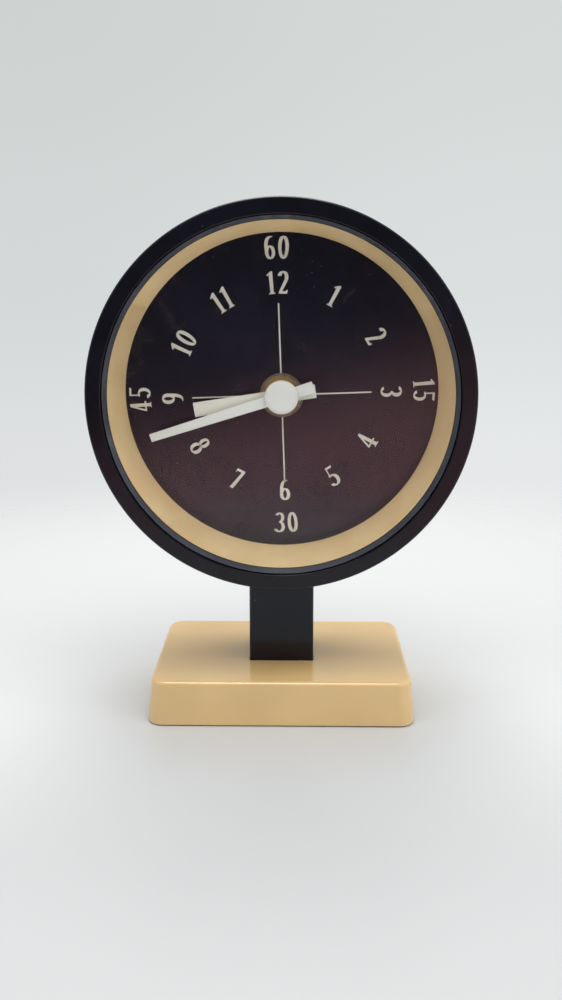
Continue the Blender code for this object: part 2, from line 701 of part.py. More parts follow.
def make_bezel(parts, finish):
    spigot_end = BEZEL_DEPTH + BEZEL_SPIGOT_LENGTH
    front = -BEZEL_EDGE
    profile = edge_arc(BEZEL_RADIUS, front, BEZEL_EDGE) + [
        (BEZEL_RADIUS, BEZEL_DEPTH),
        (SPIGOT_RADIUS, BEZEL_DEPTH),
        (SPIGOT_RADIUS, spigot_end),
        (SPIGOT_BORE, spigot_end),
        (SPIGOT_BORE, BEZEL_FACE_THICKNESS),
        (BEZEL_OPENING_RADIUS, BEZEL_FACE_THICKNESS),
        (BEZEL_OPENING_RADIUS, front + BEZEL_INNER_EDGE),
        (BEZEL_OPENING_RADIUS + BEZEL_INNER_EDGE, front),
    ]
    smooth(stand_on_axis(turned("bezel", profile, finish["black"], parts)))


def make_crystal_ring(parts, finish):
    collar = BEZEL_OPENING_RADIUS - LOOSE_GAP
    profile = [
        (collar, RING_FRONT_SETBACK),
        (collar, RING_FLANGE_DEPTH),
        (GLASS_RADIUS, RING_FLANGE_DEPTH),
        (GLASS_RADIUS, RING_BACK_DEPTH),
        (RING_INNER_RADIUS, RING_BACK_DEPTH),
        (collar - RING_LAND, RING_FRONT_SETBACK),
    ]
    smooth(stand_on_axis(turned("crystal_ring", profile, finish["slate"], parts)))


def make_crystal(parts, finish):
    crystal_back = CRYSTAL_DEPTH + CRYSTAL_THICKNESS
    solid = disc("crystal", GLASS_RADIUS, CRYSTAL_DEPTH, crystal_back, finish["clear"], parts)
    smooth(stand_on_axis(solid))


def make_reflector_ring(parts, finish):
    back_flange_front = FUNNEL_BACK_DEPTH - FUNNEL_BACK_FLANGE
    profile = [
        (GLASS_RADIUS, FUNNEL_DEPTH),
        (GLASS_RADIUS, FUNNEL_DEPTH + FUNNEL_FLANGE),
        (FUNNEL_FRONT_RADIUS + FUNNEL_WALL, FUNNEL_DEPTH + FUNNEL_FLANGE),
        (FUNNEL_BACK_RADIUS + FUNNEL_WALL, back_flange_front),
        (FLANGE_RADIUS, back_flange_front),
        (FLANGE_RADIUS, FUNNEL_BACK_DEPTH),
        (FUNNEL_BACK_RADIUS, FUNNEL_BACK_DEPTH),
        (FUNNEL_FRONT_RADIUS, FUNNEL_DEPTH),
    ]
    smooth(stand_on_axis(turned("reflector_ring", profile, finish["tan"], parts)))


def make_dial(parts, finish):
    hole = BUSH_RADIUS + LOOSE_GAP
    solid = ring("dial", FLANGE_RADIUS, hole, DIAL_DEPTH, DIAL_BACK_DEPTH, finish["dial"], parts)
    smooth(stand_on_axis(solid))


def cover_screw_places():
    turns = [2 * math.pi * i / COVER_SCREWS for i in range(COVER_SCREWS)]
    return [clock_place(turn, COVER_BOSS_CIRCLE) for turn in turns]


def upright_rod(name, radius, bottom, top, place, collection):
    """A vertical round bar over a place on the table."""
    rod = disc(name, radius, -top, -bottom, None, collection, PIVOT_STEPS)
    rod.location = (place[0], place[1], 0.0)
    return rod


def stem_top_screw_places():
    return [(side * STEM_TOP_SCREW_SPREAD, STEM_TOP_SCREW_SETBACK) for side in (-1, 1)]


def stem_foot_screw_places():
    return [(0.0, side * STEM_FOOT_SCREW_SPREAD) for side in (-1, 1)]


def stem_top_screw_seat():
    """Height at which a flat screw head clears the round inside of the drum."""
    reach = STEM_TOP_SCREW_SPREAD + SCREW_HEAD_RADIUS
    return AXIS_HEIGHT - math.sqrt(DRUM_BORE_RADIUS**2 - reach**2) + LOOSE_GAP


def make_drum_housing(parts, cutters, finish):
    ledge_back = LEDGE_DEPTH + LEDGE_THICKNESS
    back_arc = edge_arc(DRUM_BACK_RADIUS, -DRUM_DEPTH, DRUM_BACK_EDGE)
    profile = [(DRUM_FRONT_RADIUS, DRUM_FRONT_DEPTH)]
    profile += [(radius, -depth) for radius, depth in reversed(back_arc)]
    profile += [
        (DRUM_BORE_RADIUS, DRUM_DEPTH),
        (DRUM_BORE_RADIUS, ledge_back),
        (LEDGE_INNER_RADIUS, ledge_back),
        (LEDGE_INNER_RADIUS, LEDGE_DEPTH),
        (DRUM_BORE_RADIUS, LEDGE_DEPTH),
        (DRUM_BORE_RADIUS, DRUM_FRONT_DEPTH),
    ]
    drum = stand_on_axis(turned("drum_housing", profile, finish["black"], parts))
    boss_front = LEDGE_DEPTH + LEDGE_THICKNESS / 2
    hole_front = SCREW_HEAD_DEPTH - SCREW_LENGTH - SCREW_TIP_GAP
    for index, place in enumerate(cover_screw_places()):
        boss = disc(
            f"cover_boss_{index + 1}",
            COVER_BOSS_RADIUS,
            boss_front,
            BOSS_BACK,
            None,
            cutters,
            SMALL_TURN_STEPS,
        )
        join(drum, stand_on_axis(boss, place))
    for index, place in enumerate(cover_screw_places()):
        hole = disc(
            f"cover_boss_hole_{index + 1}",
            SCREW_SHAFT_RADIUS + SCREW_HOLE_GAP,
            hole_front,
            BOSS_BACK + CUT_OVERRUN,
            None,
            cutters,
            PIVOT_STEPS,
        )
        cut(drum, stand_on_axis(hole, place))
    for index, place in enumerate(stem_top_screw_places()):
        hole = upright_rod(
            f"drum_floor_hole_{index + 1}",
            SCREW_SHAFT_RADIUS + SCREW_HOLE_GAP,
            AXIS_HEIGHT - DRUM_FRONT_RADIUS - CUT_OVERRUN,
            stem_top_screw_seat() + CUT_OVERRUN,
            place,
            cutters,
        )
        cut(drum, hole)
    smooth(drum)


def make_rear_cover(parts, cutters, finish):
    cover = disc("rear_cover", FLANGE_RADIUS, COVER_DEPTH, COVER_BACK, finish["black"], parts)
    stand_on_axis(cover)
    root = COVER_BACK - COVER_THICKNESS / 2
    lip_front = DOOR_DEPTH + DOOR_THICKNESS + FIT_GAP
    lip_middle = lip_front + RAIL_LIP_THICKNESS / 2
    lip_back = lip_front + RAIL_LIP_THICKNESS
    door_top = DOOR_MIDDLE + DOOR_HEIGHT / 2
    door_bottom = DOOR_MIDDLE - DOOR_HEIGHT / 2
    rail_bottom = door_bottom - DOOR_TRAVEL + DOOR_EDGE_STRIP
    rail_inner = DOOR_WIDTH / 2 + LOOSE_GAP
    lip_inner = DOOR_WIDTH / 2 - DOOR_EDGE_STRIP + LOOSE_GAP
    rail_outer = rail_inner + RAIL_WIDTH
    for name, side in (("left", -1), ("right", 1)):
        foot = sorted((side * rail_inner, side * rail_outer))
        lip = sorted((side * lip_inner, side * rail_outer))
        join(
            cover,
            clock_block(
                f"door_rail_{name}", *foot, rail_bottom, door_top, root, lip_middle, None, cutters
            ),
            clock_block(
                f"door_lip_{name}", *lip, rail_bottom, door_top, lip_front, lip_back, None, cutters
            ),
        )
    stop_bottom = door_top + LOOSE_GAP
    join(
        cover,
        clock_block(
            "door_stop",
            -STOP_WIDTH / 2,
            STOP_WIDTH / 2,
            stop_bottom,
            stop_bottom + STOP_HEIGHT,
            root,
            lip_front,
            None,
            cutters,
        ),
    )
    window_half = BAY_HALF_LENGTH - BATTERY_WINDOW_INSET
    cut(
        cover,
        clock_block(
            "battery_window",
            -window_half,
            window_half,
            -(BAY_BOTTOM - BATTERY_WINDOW_INSET),
            -(BAY_TOP + BATTERY_WINDOW_INSET),
            COVER_DEPTH - CUT_OVERRUN,
            COVER_BACK + CUT_OVERRUN,
            None,
            cutters,
        ),
    )
    knob_window = disc(
        "knob_window",
        KNOB_RADIUS + KNOB_WINDOW_GAP,
        COVER_DEPTH - CUT_OVERRUN,
        COVER_BACK + CUT_OVERRUN,
        None,
        cutters,
        SMALL_TURN_STEPS,
    )
    cut(cover, stand_on_axis(knob_window, MOTION_AT))
    for index, place in enumerate(cover_screw_places()):
        hole = disc(
            f"cover_hole_{index + 1}",
            SCREW_SHAFT_RADIUS + SCREW_HOLE_GAP,
            COVER_DEPTH - CUT_OVERRUN,
            COVER_BACK + CUT_OVERRUN,
            None,
            cutters,
            PIVOT_STEPS,
        )
        cut(cover, stand_on_axis(hole, place))
    smooth(cover)


def make_rear_cover_screws(parts, cutters, finish):
    for index, place in enumerate(cover_screw_places()):
        pan_screw(
            f"rear_cover_screw_{index + 1}",
            (place[0], RIM_Y + SCREW_HEAD_DEPTH, AXIS_HEIGHT + place[1]),
            (-math.pi / 2, 0.0, 0.0),
            finish["steel"],
            parts,
            cutters,
        )


def make_battery_door(parts, cutters, finish):
    half = DOOR_WIDTH / 2
    bottom = DOOR_MIDDLE - DOOR_HEIGHT / 2
    top = DOOR_MIDDLE + DOOR_HEIGHT / 2
    edge_back = DOOR_DEPTH + DOOR_THICKNESS
    door = clock_block(
        "battery_door", -half, half, bottom, top, DOOR_DEPTH, edge_back, finish["black"], parts
    )
    inner = half - DOOR_EDGE_STRIP
    root = DOOR_DEPTH + DOOR_THICKNESS / 2
    middle_back = DOOR_DEPTH + DOOR_MIDDLE_THICKNESS
    join(
        door,
        clock_block("door_middle", -inner, inner, bottom, top, root, middle_back, None, cutters),
    )
    for index in range(DOOR_GRIPS):
        rib_top = top - (index + 1) * DOOR_GRIP_PITCH
        rib = clock_block(
            f"door_grip_{index + 1}",
            -DOOR_GRIP_WIDTH / 2,
            DOOR_GRIP_WIDTH / 2,
            rib_top - DOOR_GRIP_HEIGHT,
            rib_top,
            root,
            middle_back + DOOR_GRIP_RISE,
            None,
            cutters,
        )
        join(door, rib)


# Base and stem


def make_base_shell(parts, cutters, finish):
    mesh = bpy.data.meshes.new("base_shell")
    shape = bmesh.new()
    bmesh.ops.create_cube(shape, size=1.0)
    height = BASE_TOP_HEIGHT - BASE_RIM_LIFT
    bmesh.ops.scale(shape, vec=(BASE_WIDTH, BASE_DEPTH, height), verts=shape.verts)
    bmesh.ops.translate(shape, vec=(0.0, 0.0, BASE_RIM_LIFT + height / 2), verts=shape.verts)
    for vertex in shape.verts:
        if vertex.co.z > BASE_TOP_HEIGHT / 2:
            vertex.co.x -= math.copysign(BASE_TOP_INSET, vertex.co.x)
            vertex.co.y -= math.copysign(BASE_TOP_INSET, vertex.co.y)

    def round_edges(chosen, width, segments):
        bmesh.ops.bevel(
            shape,
            geom=chosen,
            offset=width,
            offset_type="OFFSET",
            segments=segments,
            profile=0.5,
            affect="EDGES",
        )

    def edges_at(level):
        return [
            edge
            for edge in shape.edges
            if all(abs(vertex.co.z - level) < WELD_DISTANCE for vertex in edge.verts)
        ]

    uprights = [
        edge for edge in shape.edges if abs(edge.verts[0].co.z - edge.verts[1].co.z) > height / 2
    ]
    round_edges(uprights, BASE_CORNER_RADIUS, 5)
    round_edges(edges_at(BASE_TOP_HEIGHT), BASE_TOP_EDGE, 3)
    round_edges(edges_at(BASE_RIM_LIFT), BASE_FOOT_EDGE, 1)
    shape.to_mesh(mesh)
    shape.free()
    shell = add_object("base_shell", mesh, finish["tan"], parts)
    cavity_half = base_cavity_half()
    ceiling = BASE_TOP_HEIGHT - BASE_WALL
    cavity = block(
        "base_cavity",
        (-cavity_half[0], -cavity_half[1], BASE_RIM_LIFT - CUT_OVERRUN),
        (cavity_half[0], cavity_half[1], ceiling),
        None,
        cutters,
        BASE_CORNER_RADIUS - BASE_WALL,
        "Z",
    )
    cut(shell, cavity)
    root = BASE_TOP_HEIGHT - BASE_WALL / 2
    pedestal = block(
        "stem_pedestal",
        (-PEDESTAL_WIDTH / 2, -PEDESTAL_DEPTH / 2, PEDESTAL_HEIGHT),
        (PEDESTAL_WIDTH / 2, PEDESTAL_DEPTH / 2, root),
        None,
        cutters,
    )
    join(shell, pedestal)
    for index, place in enumerate(base_cover_screw_places()):
        boss = upright_rod(
            f"base_boss_{index + 1}", BASE_BOSS_RADIUS, BALLAST_HEIGHT, root, place, cutters
        )
        join(shell, boss)
    for index, place in enumerate(base_cover_screw_places()):
        hole = upright_rod(
            f"base_boss_hole_{index + 1}",
            SCREW_SHAFT_RADIUS + SCREW_HOLE_GAP,
            BALLAST_HEIGHT - CUT_OVERRUN,
            base_cover_screw_seat() + SCREW_LENGTH + SCREW_TIP_GAP,
            place,
            cutters,
        )
        cut(shell, hole)
    socket = block(
        "stem_socket",
        (-STEM_FOOT_WIDTH / 2 - FIT_GAP, -STEM_FOOT_DEPTH / 2 - FIT_GAP, SOCKET_FLOOR),
        (STEM_FOOT_WIDTH / 2 + FIT_GAP, STEM_FOOT_DEPTH / 2 + FIT_GAP, BASE_TOP_HEIGHT + CUT_OVERRUN),
        None,
        cutters,
        STEM_EDGE,
        "Z",
    )
    cut(shell, socket)
    for index, place in enumerate(stem_foot_screw_places()):
        hole = upright_rod(
            f"base_top_hole_{index + 1}",
            SCREW_SHAFT_RADIUS + SCREW_HOLE_GAP,
            PEDESTAL_HEIGHT - CUT_OVERRUN,
            SOCKET_FLOOR + CUT_OVERRUN,
            place,
            cutters,
        )
        cut(shell, hole)
    smooth(shell)


def base_cavity_half():
    """Half the width and half the depth of the hollow under the base."""
    wall = BASE_WALL + BASE_TOP_INSET
    return BASE_WIDTH / 2 - wall, BASE_DEPTH / 2 - wall


def base_cover_screw_places():
    return [(side * BASE_BOSS_SPREAD, 0.0) for side in (-1, 1)]


def base_cover_screw_seat():
    """The base cover's screw heads sit in counterbores half as deep as the cover is thick."""
    return BASE_COVER_HEIGHT + BASE_COVER_THICKNESS / 2 - SEAT_GAP


def make_base_cover(parts, cutters, finish):
    half = [side - LOOSE_GAP for side in base_cavity_half()]
    bottom = BASE_COVER_HEIGHT
    cover = block(
        "base_cover",
        (-half[0], -half[1], bottom),
        (half[0], half[1], COVER_TOP_HEIGHT),
        finish["black"],
        parts,
        BASE_CORNER_RADIUS - BASE_WALL,
        "Z",
    )
    for index, place in enumerate(base_cover_screw_places()):
        counterbore_top = base_cover_screw_seat() + SEAT_GAP
        hole = arbor(
            f"base_cover_hole_{index + 1}",
            [
                (
                    SCREW_SHAFT_RADIUS + SCREW_HOLE_GAP,
                    -COVER_TOP_HEIGHT - CUT_OVERRUN,
                    -counterbore_top,
                ),
                (SCREW_HEAD_RADIUS + FIT_GAP, -counterbore_top, CUT_OVERRUN - bottom),
            ],
            None,
            cutters,
        )
        hole.location = (place[0], place[1], 0.0)
        cut(cover, hole)


def make_base_screws(parts, cutters, finish):
    seat = base_cover_screw_seat()
    for index, place in enumerate(base_cover_screw_places()):
        pan_screw(
            f"base_cover_screw_{index + 1}",
            (place[0], place[1], seat),
            (math.pi, 0.0, 0.0),
            finish["steel"],
            parts,
            cutters,
        )
    for index, place in enumerate(stem_foot_screw_places()):
        pan_screw(
            f"stem_foot_screw_{index + 1}",
            (place[0], place[1], PEDESTAL_HEIGHT - SEAT_GAP),
            (math.pi, 0.0, 0.0),
            finish["steel"],
            parts,
            cutters,
        )


def make_base_pad(parts, finish):
    block(
        "base_pad",
        (-PAD_WIDTH / 2, -PAD_DEPTH / 2, 0.0),
        (PAD_WIDTH / 2, PAD_DEPTH / 2, PAD_THICKNESS),
        finish["felt"],
        parts,
        PAD_CORNER,
        "Z",
        4,
    )


def make_ballast_plate(parts, cutters, finish):
    half = [side - BALLAST_SIDE_GAP for side in base_cavity_half()]
    ballast = block(
        "ballast_plate",
        (-half[0], -half[1], BALLAST_HEIGHT),
        (half[0], half[1], BALLAST_HEIGHT + BALLAST_THICKNESS),
        finish["steel"],
        parts,
        BALLAST_EDGE,
        "X",
    )
    for index, place in enumerate(base_cover_screw_places()):
        notch_outer = math.copysign(half[0] + CUT_OVERRUN, place[0])
        notch_inner = place[0] - math.copysign(BASE_BOSS_RADIUS + LOOSE_GAP, place[0])
        sides = sorted((notch_inner, notch_outer))
        notch = block(
            f"ballast_notch_{index + 1}",
            (sides[0], -BASE_BOSS_RADIUS - LOOSE_GAP, BALLAST_HEIGHT - CUT_OVERRUN),
            (sides[1], BASE_BOSS_RADIUS + LOOSE_GAP, BALLAST_HEIGHT + BALLAST_THICKNESS + CUT_OVERRUN),
            None,
            cutters,
        )
        cut(ballast, notch)


def make_stem(parts, cutters, finish):
    mesh = bpy.data.meshes.new("stem")
    shape = bmesh.new()
    bmesh.ops.create_cube(shape, size=1.0)
    reach = STEM_TOP_HEIGHT + CUT_OVERRUN
    height = reach - STEM_FOOT_HEIGHT
    bmesh.ops.scale(shape, vec=(STEM_FOOT_WIDTH, STEM_FOOT_DEPTH, height), verts=shape.verts)
    bmesh.ops.translate(shape, vec=(0.0, 0.0, STEM_FOOT_HEIGHT + height / 2), verts=shape.verts)
    for vertex in shape.verts:
        if vertex.co.z > STEM_FOOT_HEIGHT + height / 2:
            vertex.co.x = math.copysign(STEM_TOP_WIDTH / 2, vertex.co.x)
            vertex.co.y = math.copysign(STEM_TOP_DEPTH / 2, vertex.co.y)
    uprights = [
        edge for edge in shape.edges if abs(edge.verts[0].co.z - edge.verts[1].co.z) > height / 2
    ]
    bmesh.ops.bevel(
        shape,
        geom=uprights,
        offset=STEM_EDGE,
        offset_type="OFFSET",
        segments=2,
        profile=0.5,
        affect="EDGES",
    )
    shape.to_mesh(mesh)
    shape.free()
    stem = add_object("stem", mesh, finish["black"], parts)
    saddle = disc(
        "stem_saddle",
        DRUM_FRONT_RADIUS + SEAT_GAP,
        -CUT_OVERRUN,
        DRUM_DEPTH + CUT_OVERRUN,
        None,
        cutters,
    )
    cut(stem, stand_on_axis(saddle))
    pocket_inner = STEM_WEB / 2
    pocket_outer = pocket_inner + STEM_POCKET_WIDTH
    for name, side in (("left", -1), ("right", 1)):
        sides = sorted((side * pocket_inner, side * pocket_outer))
        pocket = block(
            f"stem_pocket_{name}",
            (sides[0], -STEM_POCKET_DEPTH / 2, STEM_FOOT_HEIGHT - CUT_OVERRUN),
            (sides[1], STEM_POCKET_DEPTH / 2, STEM_FOOT_HEIGHT + STEM_POCKET_HEIGHT),
            None,
            cutters,
        )
        cut(stem, pocket)
    hole_radius = SCREW_SHAFT_RADIUS + SCREW_HOLE_GAP
    foot_screw_end = PEDESTAL_HEIGHT - SEAT_GAP + SCREW_LENGTH
    for index, place in enumerate(stem_foot_screw_places()):
        hole = upright_rod(
            f"stem_foot_hole_{index + 1}",
            hole_radius,
            STEM_FOOT_HEIGHT - CUT_OVERRUN,
            foot_screw_end + SCREW_TIP_GAP,
            place,
            cutters,
        )
        cut(stem, hole)
    top_screw_end = stem_top_screw_seat() - SCREW_LENGTH
    for index, place in enumerate(stem_top_screw_places()):
        hole = upright_rod(
            f"stem_top_hole_{index + 1}",
            hole_radius,
            top_screw_end - SCREW_TIP_GAP,
            STEM_TOP_HEIGHT + CUT_OVERRUN,
            place,
            cutters,
        )
        cut(stem, hole)
    smooth(stem)


def make_stem_top_screws(parts, cutters, finish):
    for index, place in enumerate(stem_top_screw_places()):
        pan_screw(
            f"stem_top_screw_{index + 1}",
            (place[0], place[1], stem_top_screw_seat()),
            (0.0, 0.0, 0.0),
            finish["steel"],
            parts,
            cutters,
        )


# Movement frame


def make_movement_front_plate(parts, cutters, finish):
    front_plate = clock_block(
        "movement_front_plate",
        -CASE_HALF,
        CASE_HALF,
        -CASE_HALF,
        CASE_HALF,
        PLATE_DEPTH,
        PLATE_BACK,
        finish["case"],
        parts,
        CASE_CORNER,
    )
    root = PLATE_DEPTH + PLATE_THICKNESS / 2
    bush = disc("centre_bush", BUSH_RADIUS, BUSH_TIP_DEPTH, root, None, cutters, SMALL_TURN_STEPS)
    join(front_plate, stand_on_axis(bush))
    post_end = TRAIN_PLATE_DEPTH - SEAT_GAP
    for index, place in enumerate(post_places()):
        post = disc(f"train_post_{index + 1}", POST_RADIUS, root, post_end, None, cutters, PIVOT_STEPS)
        join(front_plate, stand_on_axis(post, place))
    bore = disc(
        "bush_bore",
        HOUR_PIPE_RADIUS + PIPE_GAP,
        BUSH_TIP_DEPTH - CUT_OVERRUN,
        PLATE_BACK + CUT_OVERRUN,
        None,
        cutters,
        SMALL_TURN_STEPS,
    )
    pivot_hole = disc(
        "motion_pivot_hole",
        ARBOR_RADIUS + PIVOT_GAP,
        PLATE_DEPTH - CUT_OVERRUN,
        PLATE_BACK + CUT_OVERRUN,
        None,
        cutters,
        PIVOT_STEPS,
    )
    cut(front_plate, stand_on_axis(bore), stand_on_axis(pivot_hole, MOTION_AT))
    smooth(front_plate)


def post_places():
    """Four posts near the corners of the train plate."""
    inset = POST_RADIUS + LOOSE_GAP
    return [
        (across, up)
        for across in (-TRAIN_PLATE_LEFT + inset, TRAIN_PLATE_RIGHT - inset)
        for up in (-TRAIN_PLATE_BOTTOM + inset, TRAIN_PLATE_TOP - inset)
    ]


def make_mounting_washers(parts, finish):
    hole = BUSH_RADIUS + FIT_GAP
    cushion_back = CUSHION_DEPTH + CUSHION_THICKNESS
    cushion = ring(
        "movement_cushion",
        WASHER_RADIUS,
        hole,
        CUSHION_DEPTH,
        cushion_back,
        finish["rubber"],
        parts,
        SMALL_TURN_STEPS,
    )
    washer_back = DIAL_WASHER_DEPTH + DIAL_WASHER_THICKNESS
    washer = ring(
        "dial_washer",
        DIAL_WASHER_RADIUS,
        hole,
        DIAL_WASHER_DEPTH,
        washer_back,
        finish["steel"],
        parts,
        HUB_TURN_STEPS,
    )
    nut = ring(
        "mounting_nut",
        NUT_RADIUS,
        hole,
        NUT_DEPTH,
        NUT_DEPTH + NUT_THICKNESS,
        finish["brass"],
        parts,
        HUB_TURN_STEPS,
    )
    for each in (cushion, washer, nut):
        smooth(stand_on_axis(each))


def make_train_plate(parts, cutters, finish):
    corners = [
        (-TRAIN_PLATE_LEFT, -TRAIN_PLATE_BOTTOM),
        (TRAIN_PLATE_RIGHT, -TRAIN_PLATE_BOTTOM),
        (TRAIN_PLATE_RIGHT, TRAIN_PLATE_TOP),
        (-TRAIN_PLATE_LEFT, TRAIN_PLATE_TOP),
    ]
    holes = [
        circle_outline(CENTRE_ARBOR_RADIUS + PIVOT_GAP, PIVOT_STEPS),
        circle_outline(MOTION_ARBOR_RADIUS + PIVOT_GAP, PIVOT_STEPS, MOTION_AT),
    ]
    for place in (THIRD_AT, FOURTH_AT, INTERMEDIATE_AT, ROTOR_AT):
        holes.append(circle_outline(PIVOT_RADIUS + PIVOT_GAP, PIVOT_STEPS, place))
    train_plate = plate(
        "train_plate", [corners, *holes], TRAIN_PLATE_DEPTH, TRAIN_PLATE_BACK, finish["case"], parts
    )
    stand_on_axis(train_plate)
    for index, place in enumerate(stator_pillar_places()):
        pillar = disc(
            f"stator_pillar_{index + 1}",
            PILLAR_RADIUS,
            TRAIN_PLATE_BACK - TRAIN_PLATE_THICKNESS / 2,
            STATOR_DEPTH - SEAT_GAP,
            None,
            cutters,
            PIVOT_STEPS,
        )
        join(train_plate, stand_on_axis(pillar, place))


def stator_pillar_places():
    """One pillar under each ear of the stator, and one under its lower right corner."""
    ear_middle = EAR_WIDTH / 2
    return [
        (-STATOR_LEFT + ear_middle, COIL_AXIS_RISE),
        (STATOR_RIGHT - ear_middle, COIL_AXIS_RISE),
        (STATOR_RIGHT - ear_middle, STATOR_BOTTOM + ear_middle),
    ]


def make_movement_rear_case(parts, cutters, finish):
    case = clock_block(
        "movement_rear_case",
        -CASE_HALF,
        CASE_HALF,
        -CASE_HALF,
        CASE_HALF,
        CASE_FRONT,
        CASE_BACK,
        finish["case"],
        parts,
        CASE_CORNER,
    )
    chamber = clock_block(
        "wheel_chamber",
        -CHAMBER_HALF,
        CHAMBER_HALF,
        -BAY_TOP + CASE_WALL,
        CHAMBER_HALF,
        CASE_FRONT - CUT_OVERRUN,
        CASE_BACK_INNER,
        None,
        cutters,
        CASE_CORNER - CASE_WALL,
    )
    bay = clock_block(
        "battery_bay",
        -BAY_HALF_LENGTH,
        BAY_HALF_LENGTH,
        -BAY_BOTTOM,
        -BAY_TOP,
        CASE_FRONT - CUT_OVERRUN,
        CASE_BACK + CUT_OVERRUN,
        None,
        cutters,
        CASE_CORNER - CASE_WALL,
    )
    cut(case, chamber, bay)
    floor = ARBOR_END + PIVOT_GAP
    bearings = [
        ("centre", CENTRE_AT, CENTRE_ARBOR_RADIUS, floor),
        ("third", THIRD_AT, PIVOT_RADIUS, floor),
        ("fourth", FOURTH_AT, PIVOT_RADIUS, floor),
        ("intermediate", INTERMEDIATE_AT, PIVOT_RADIUS, floor),
        ("rotor", ROTOR_AT, PIVOT_RADIUS, floor),
        ("motion", MOTION_AT, MOTION_ARBOR_RADIUS, CASE_BACK + CUT_OVERRUN),
    ]
    for name, place, radius, back in bearings:
        hole = disc(
            f"{name}_bearing",
            radius + PIVOT_GAP,
            CASE_BACK_INNER - CUT_OVERRUN,
            back,
            None,
            cutters,
            PIVOT_STEPS,
        )
        cut(case, stand_on_axis(hole, place))
    smooth(case)


# Wheels


def compound_wheel(name, at, wheel, pinion, shaft, bore, finish_of, parts, cutters, holes=()):
    """One moulded piece on one axis: a toothed wheel, a pinion, a stepped shaft and a bore, as given."""
    wheel_teeth, wheel_module, wheel_phase, wheel_front, wheel_back = wheel
    body = gear_solid(
        name,
        wheel_teeth,
        wheel_module,
        wheel_phase,
        wheel_front,
        wheel_back,
        finish_of,
        parts,
        holes,
    )
    helpers = []
    if pinion:
        helpers.append(gear_solid(f"{name}_pinion", *pinion, None, cutters))
    if shaft:
        helpers.append(arbor(f"{name}_shaft", shaft, None, cutters))
    join(body, *helpers)
    if bore:
        radius, front, back = bore
        helper = disc(f"{name}_bore", radius, front, back, None, cutters, PIVOT_STEPS)
        cut(body, helper)
        helpers.append(helper)
    for each in (body, *helpers):
        stand_on_axis(each, at)
    return body


def make_minute_arbor(parts, cutters, finish):
    wheel_root = CANNON_LAYER + LAYER_GAP / 2
    return compound_wheel(
        "minute_arbor",
        CENTRE_AT,
        (CANNON_TEETH, MOTION_MODULE, tooth_phase(MOTION_BEARING), CANNON_LAYER, CANNON_BACK),
        None,
        [
            (MINUTE_ARBOR_RADIUS, MINUTE_HAND_DEPTH + HAND_GRIP_GAP, wheel_root),
            (CENTRE_ARBOR_RADIUS, wheel_root, ARBOR_END),
        ],
        None,
        finish["steel"],
        parts,
        cutters,
    )


def make_hour_wheel(parts, cutters, finish):
    turns = [2 * math.pi * (i + 0.5) / HOUR_WHEEL_HOLES for i in range(HOUR_WHEEL_HOLES)]
    holes = [
        circle_outline(
            HOUR_WHEEL_HOLE_RADIUS, PIVOT_STEPS, clock_place(turn, HOUR_WHEEL_HOLE_CIRCLE)
        )
        for turn in turns
    ]
    pipe_front = HOUR_HAND_DEPTH + HAND_GRIP_GAP
    wheel_back = HOUR_LAYER + WHEEL_THICKNESS
    return compound_wheel(
        "hour_wheel",
        CENTRE_AT,
        (HOUR_TEETH, HOUR_MODULE, tooth_phase(MOTION_BEARING), HOUR_LAYER, wheel_back),
        None,
        [(HOUR_PIPE_RADIUS, pipe_front, HOUR_LAYER + WHEEL_THICKNESS / 2)],
        (HOUR_PIPE_BORE, pipe_front - CUT_OVERRUN, wheel_back + CUT_OVERRUN),
        finish["white_plastic"],
        parts,
        cutters,
        holes,
    )


def make_motion_wheel(parts, cutters, finish):
    pinion_front = HOUR_LAYER - LAYER_GAP / 2
    knob_front = CASE_BACK + LOOSE_GAP
    return compound_wheel(
        "motion_wheel",
        MOTION_AT,
        (
            MOTION_TEETH,
            MOTION_MODULE,
            gap_phase(MOTION_BEARING, MOTION_TEETH),
            MOTION_LAYER,
            MOTION_BACK,
        ),
        (
            MOTION_PINION_TEETH,
            HOUR_MODULE,
            gap_phase(MOTION_BEARING, MOTION_PINION_TEETH),
            pinion_front,
            MOTION_LAYER + WHEEL_THICKNESS / 2,
        ),
        [
            (ARBOR_RADIUS, PLATE_DEPTH + PIVOT_GAP, MOTION_LAYER + WHEEL_THICKNESS / 2),
            (
                MOTION_ARBOR_RADIUS,
                MOTION_LAYER + WHEEL_THICKNESS / 2,
                knob_front + KNOB_BORE_DEPTH - FIT_GAP,
            ),
        ],
        None,
        finish["white_plastic"],
        parts,
        cutters,
    )


def train_shaft(first, last):
    """A thin arbor between the train plate and the back wall, with a fine pivot at each end."""
    return [
        (PIVOT_RADIUS, TRAIN_PLATE_DEPTH + PIVOT_GAP, first),
        (ARBOR_RADIUS, first, last),
        (PIVOT_RADIUS, last, ARBOR_END),
    ]


def make_centre_wheel(parts, cutters, finish):
    hub_back = CENTRE_BACK + CENTRE_HUB_LENGTH
    return compound_wheel(
        "centre_wheel",
        CENTRE_AT,
        (CENTRE_TEETH, CENTRE_MODULE, tooth_phase(THIRD_BEARING), CENTRE_LAYER, CENTRE_BACK),
        None,
        [(CENTRE_HUB_RADIUS, CENTRE_LAYER - LAYER_GAP / 2, hub_back)],
        (
            CENTRE_ARBOR_RADIUS + PIVOT_GAP,
            CENTRE_LAYER - CUT_OVERRUN,
            hub_back + CUT_OVERRUN,
        ),
        finish["brass"],
        parts,
        cutters,
    )


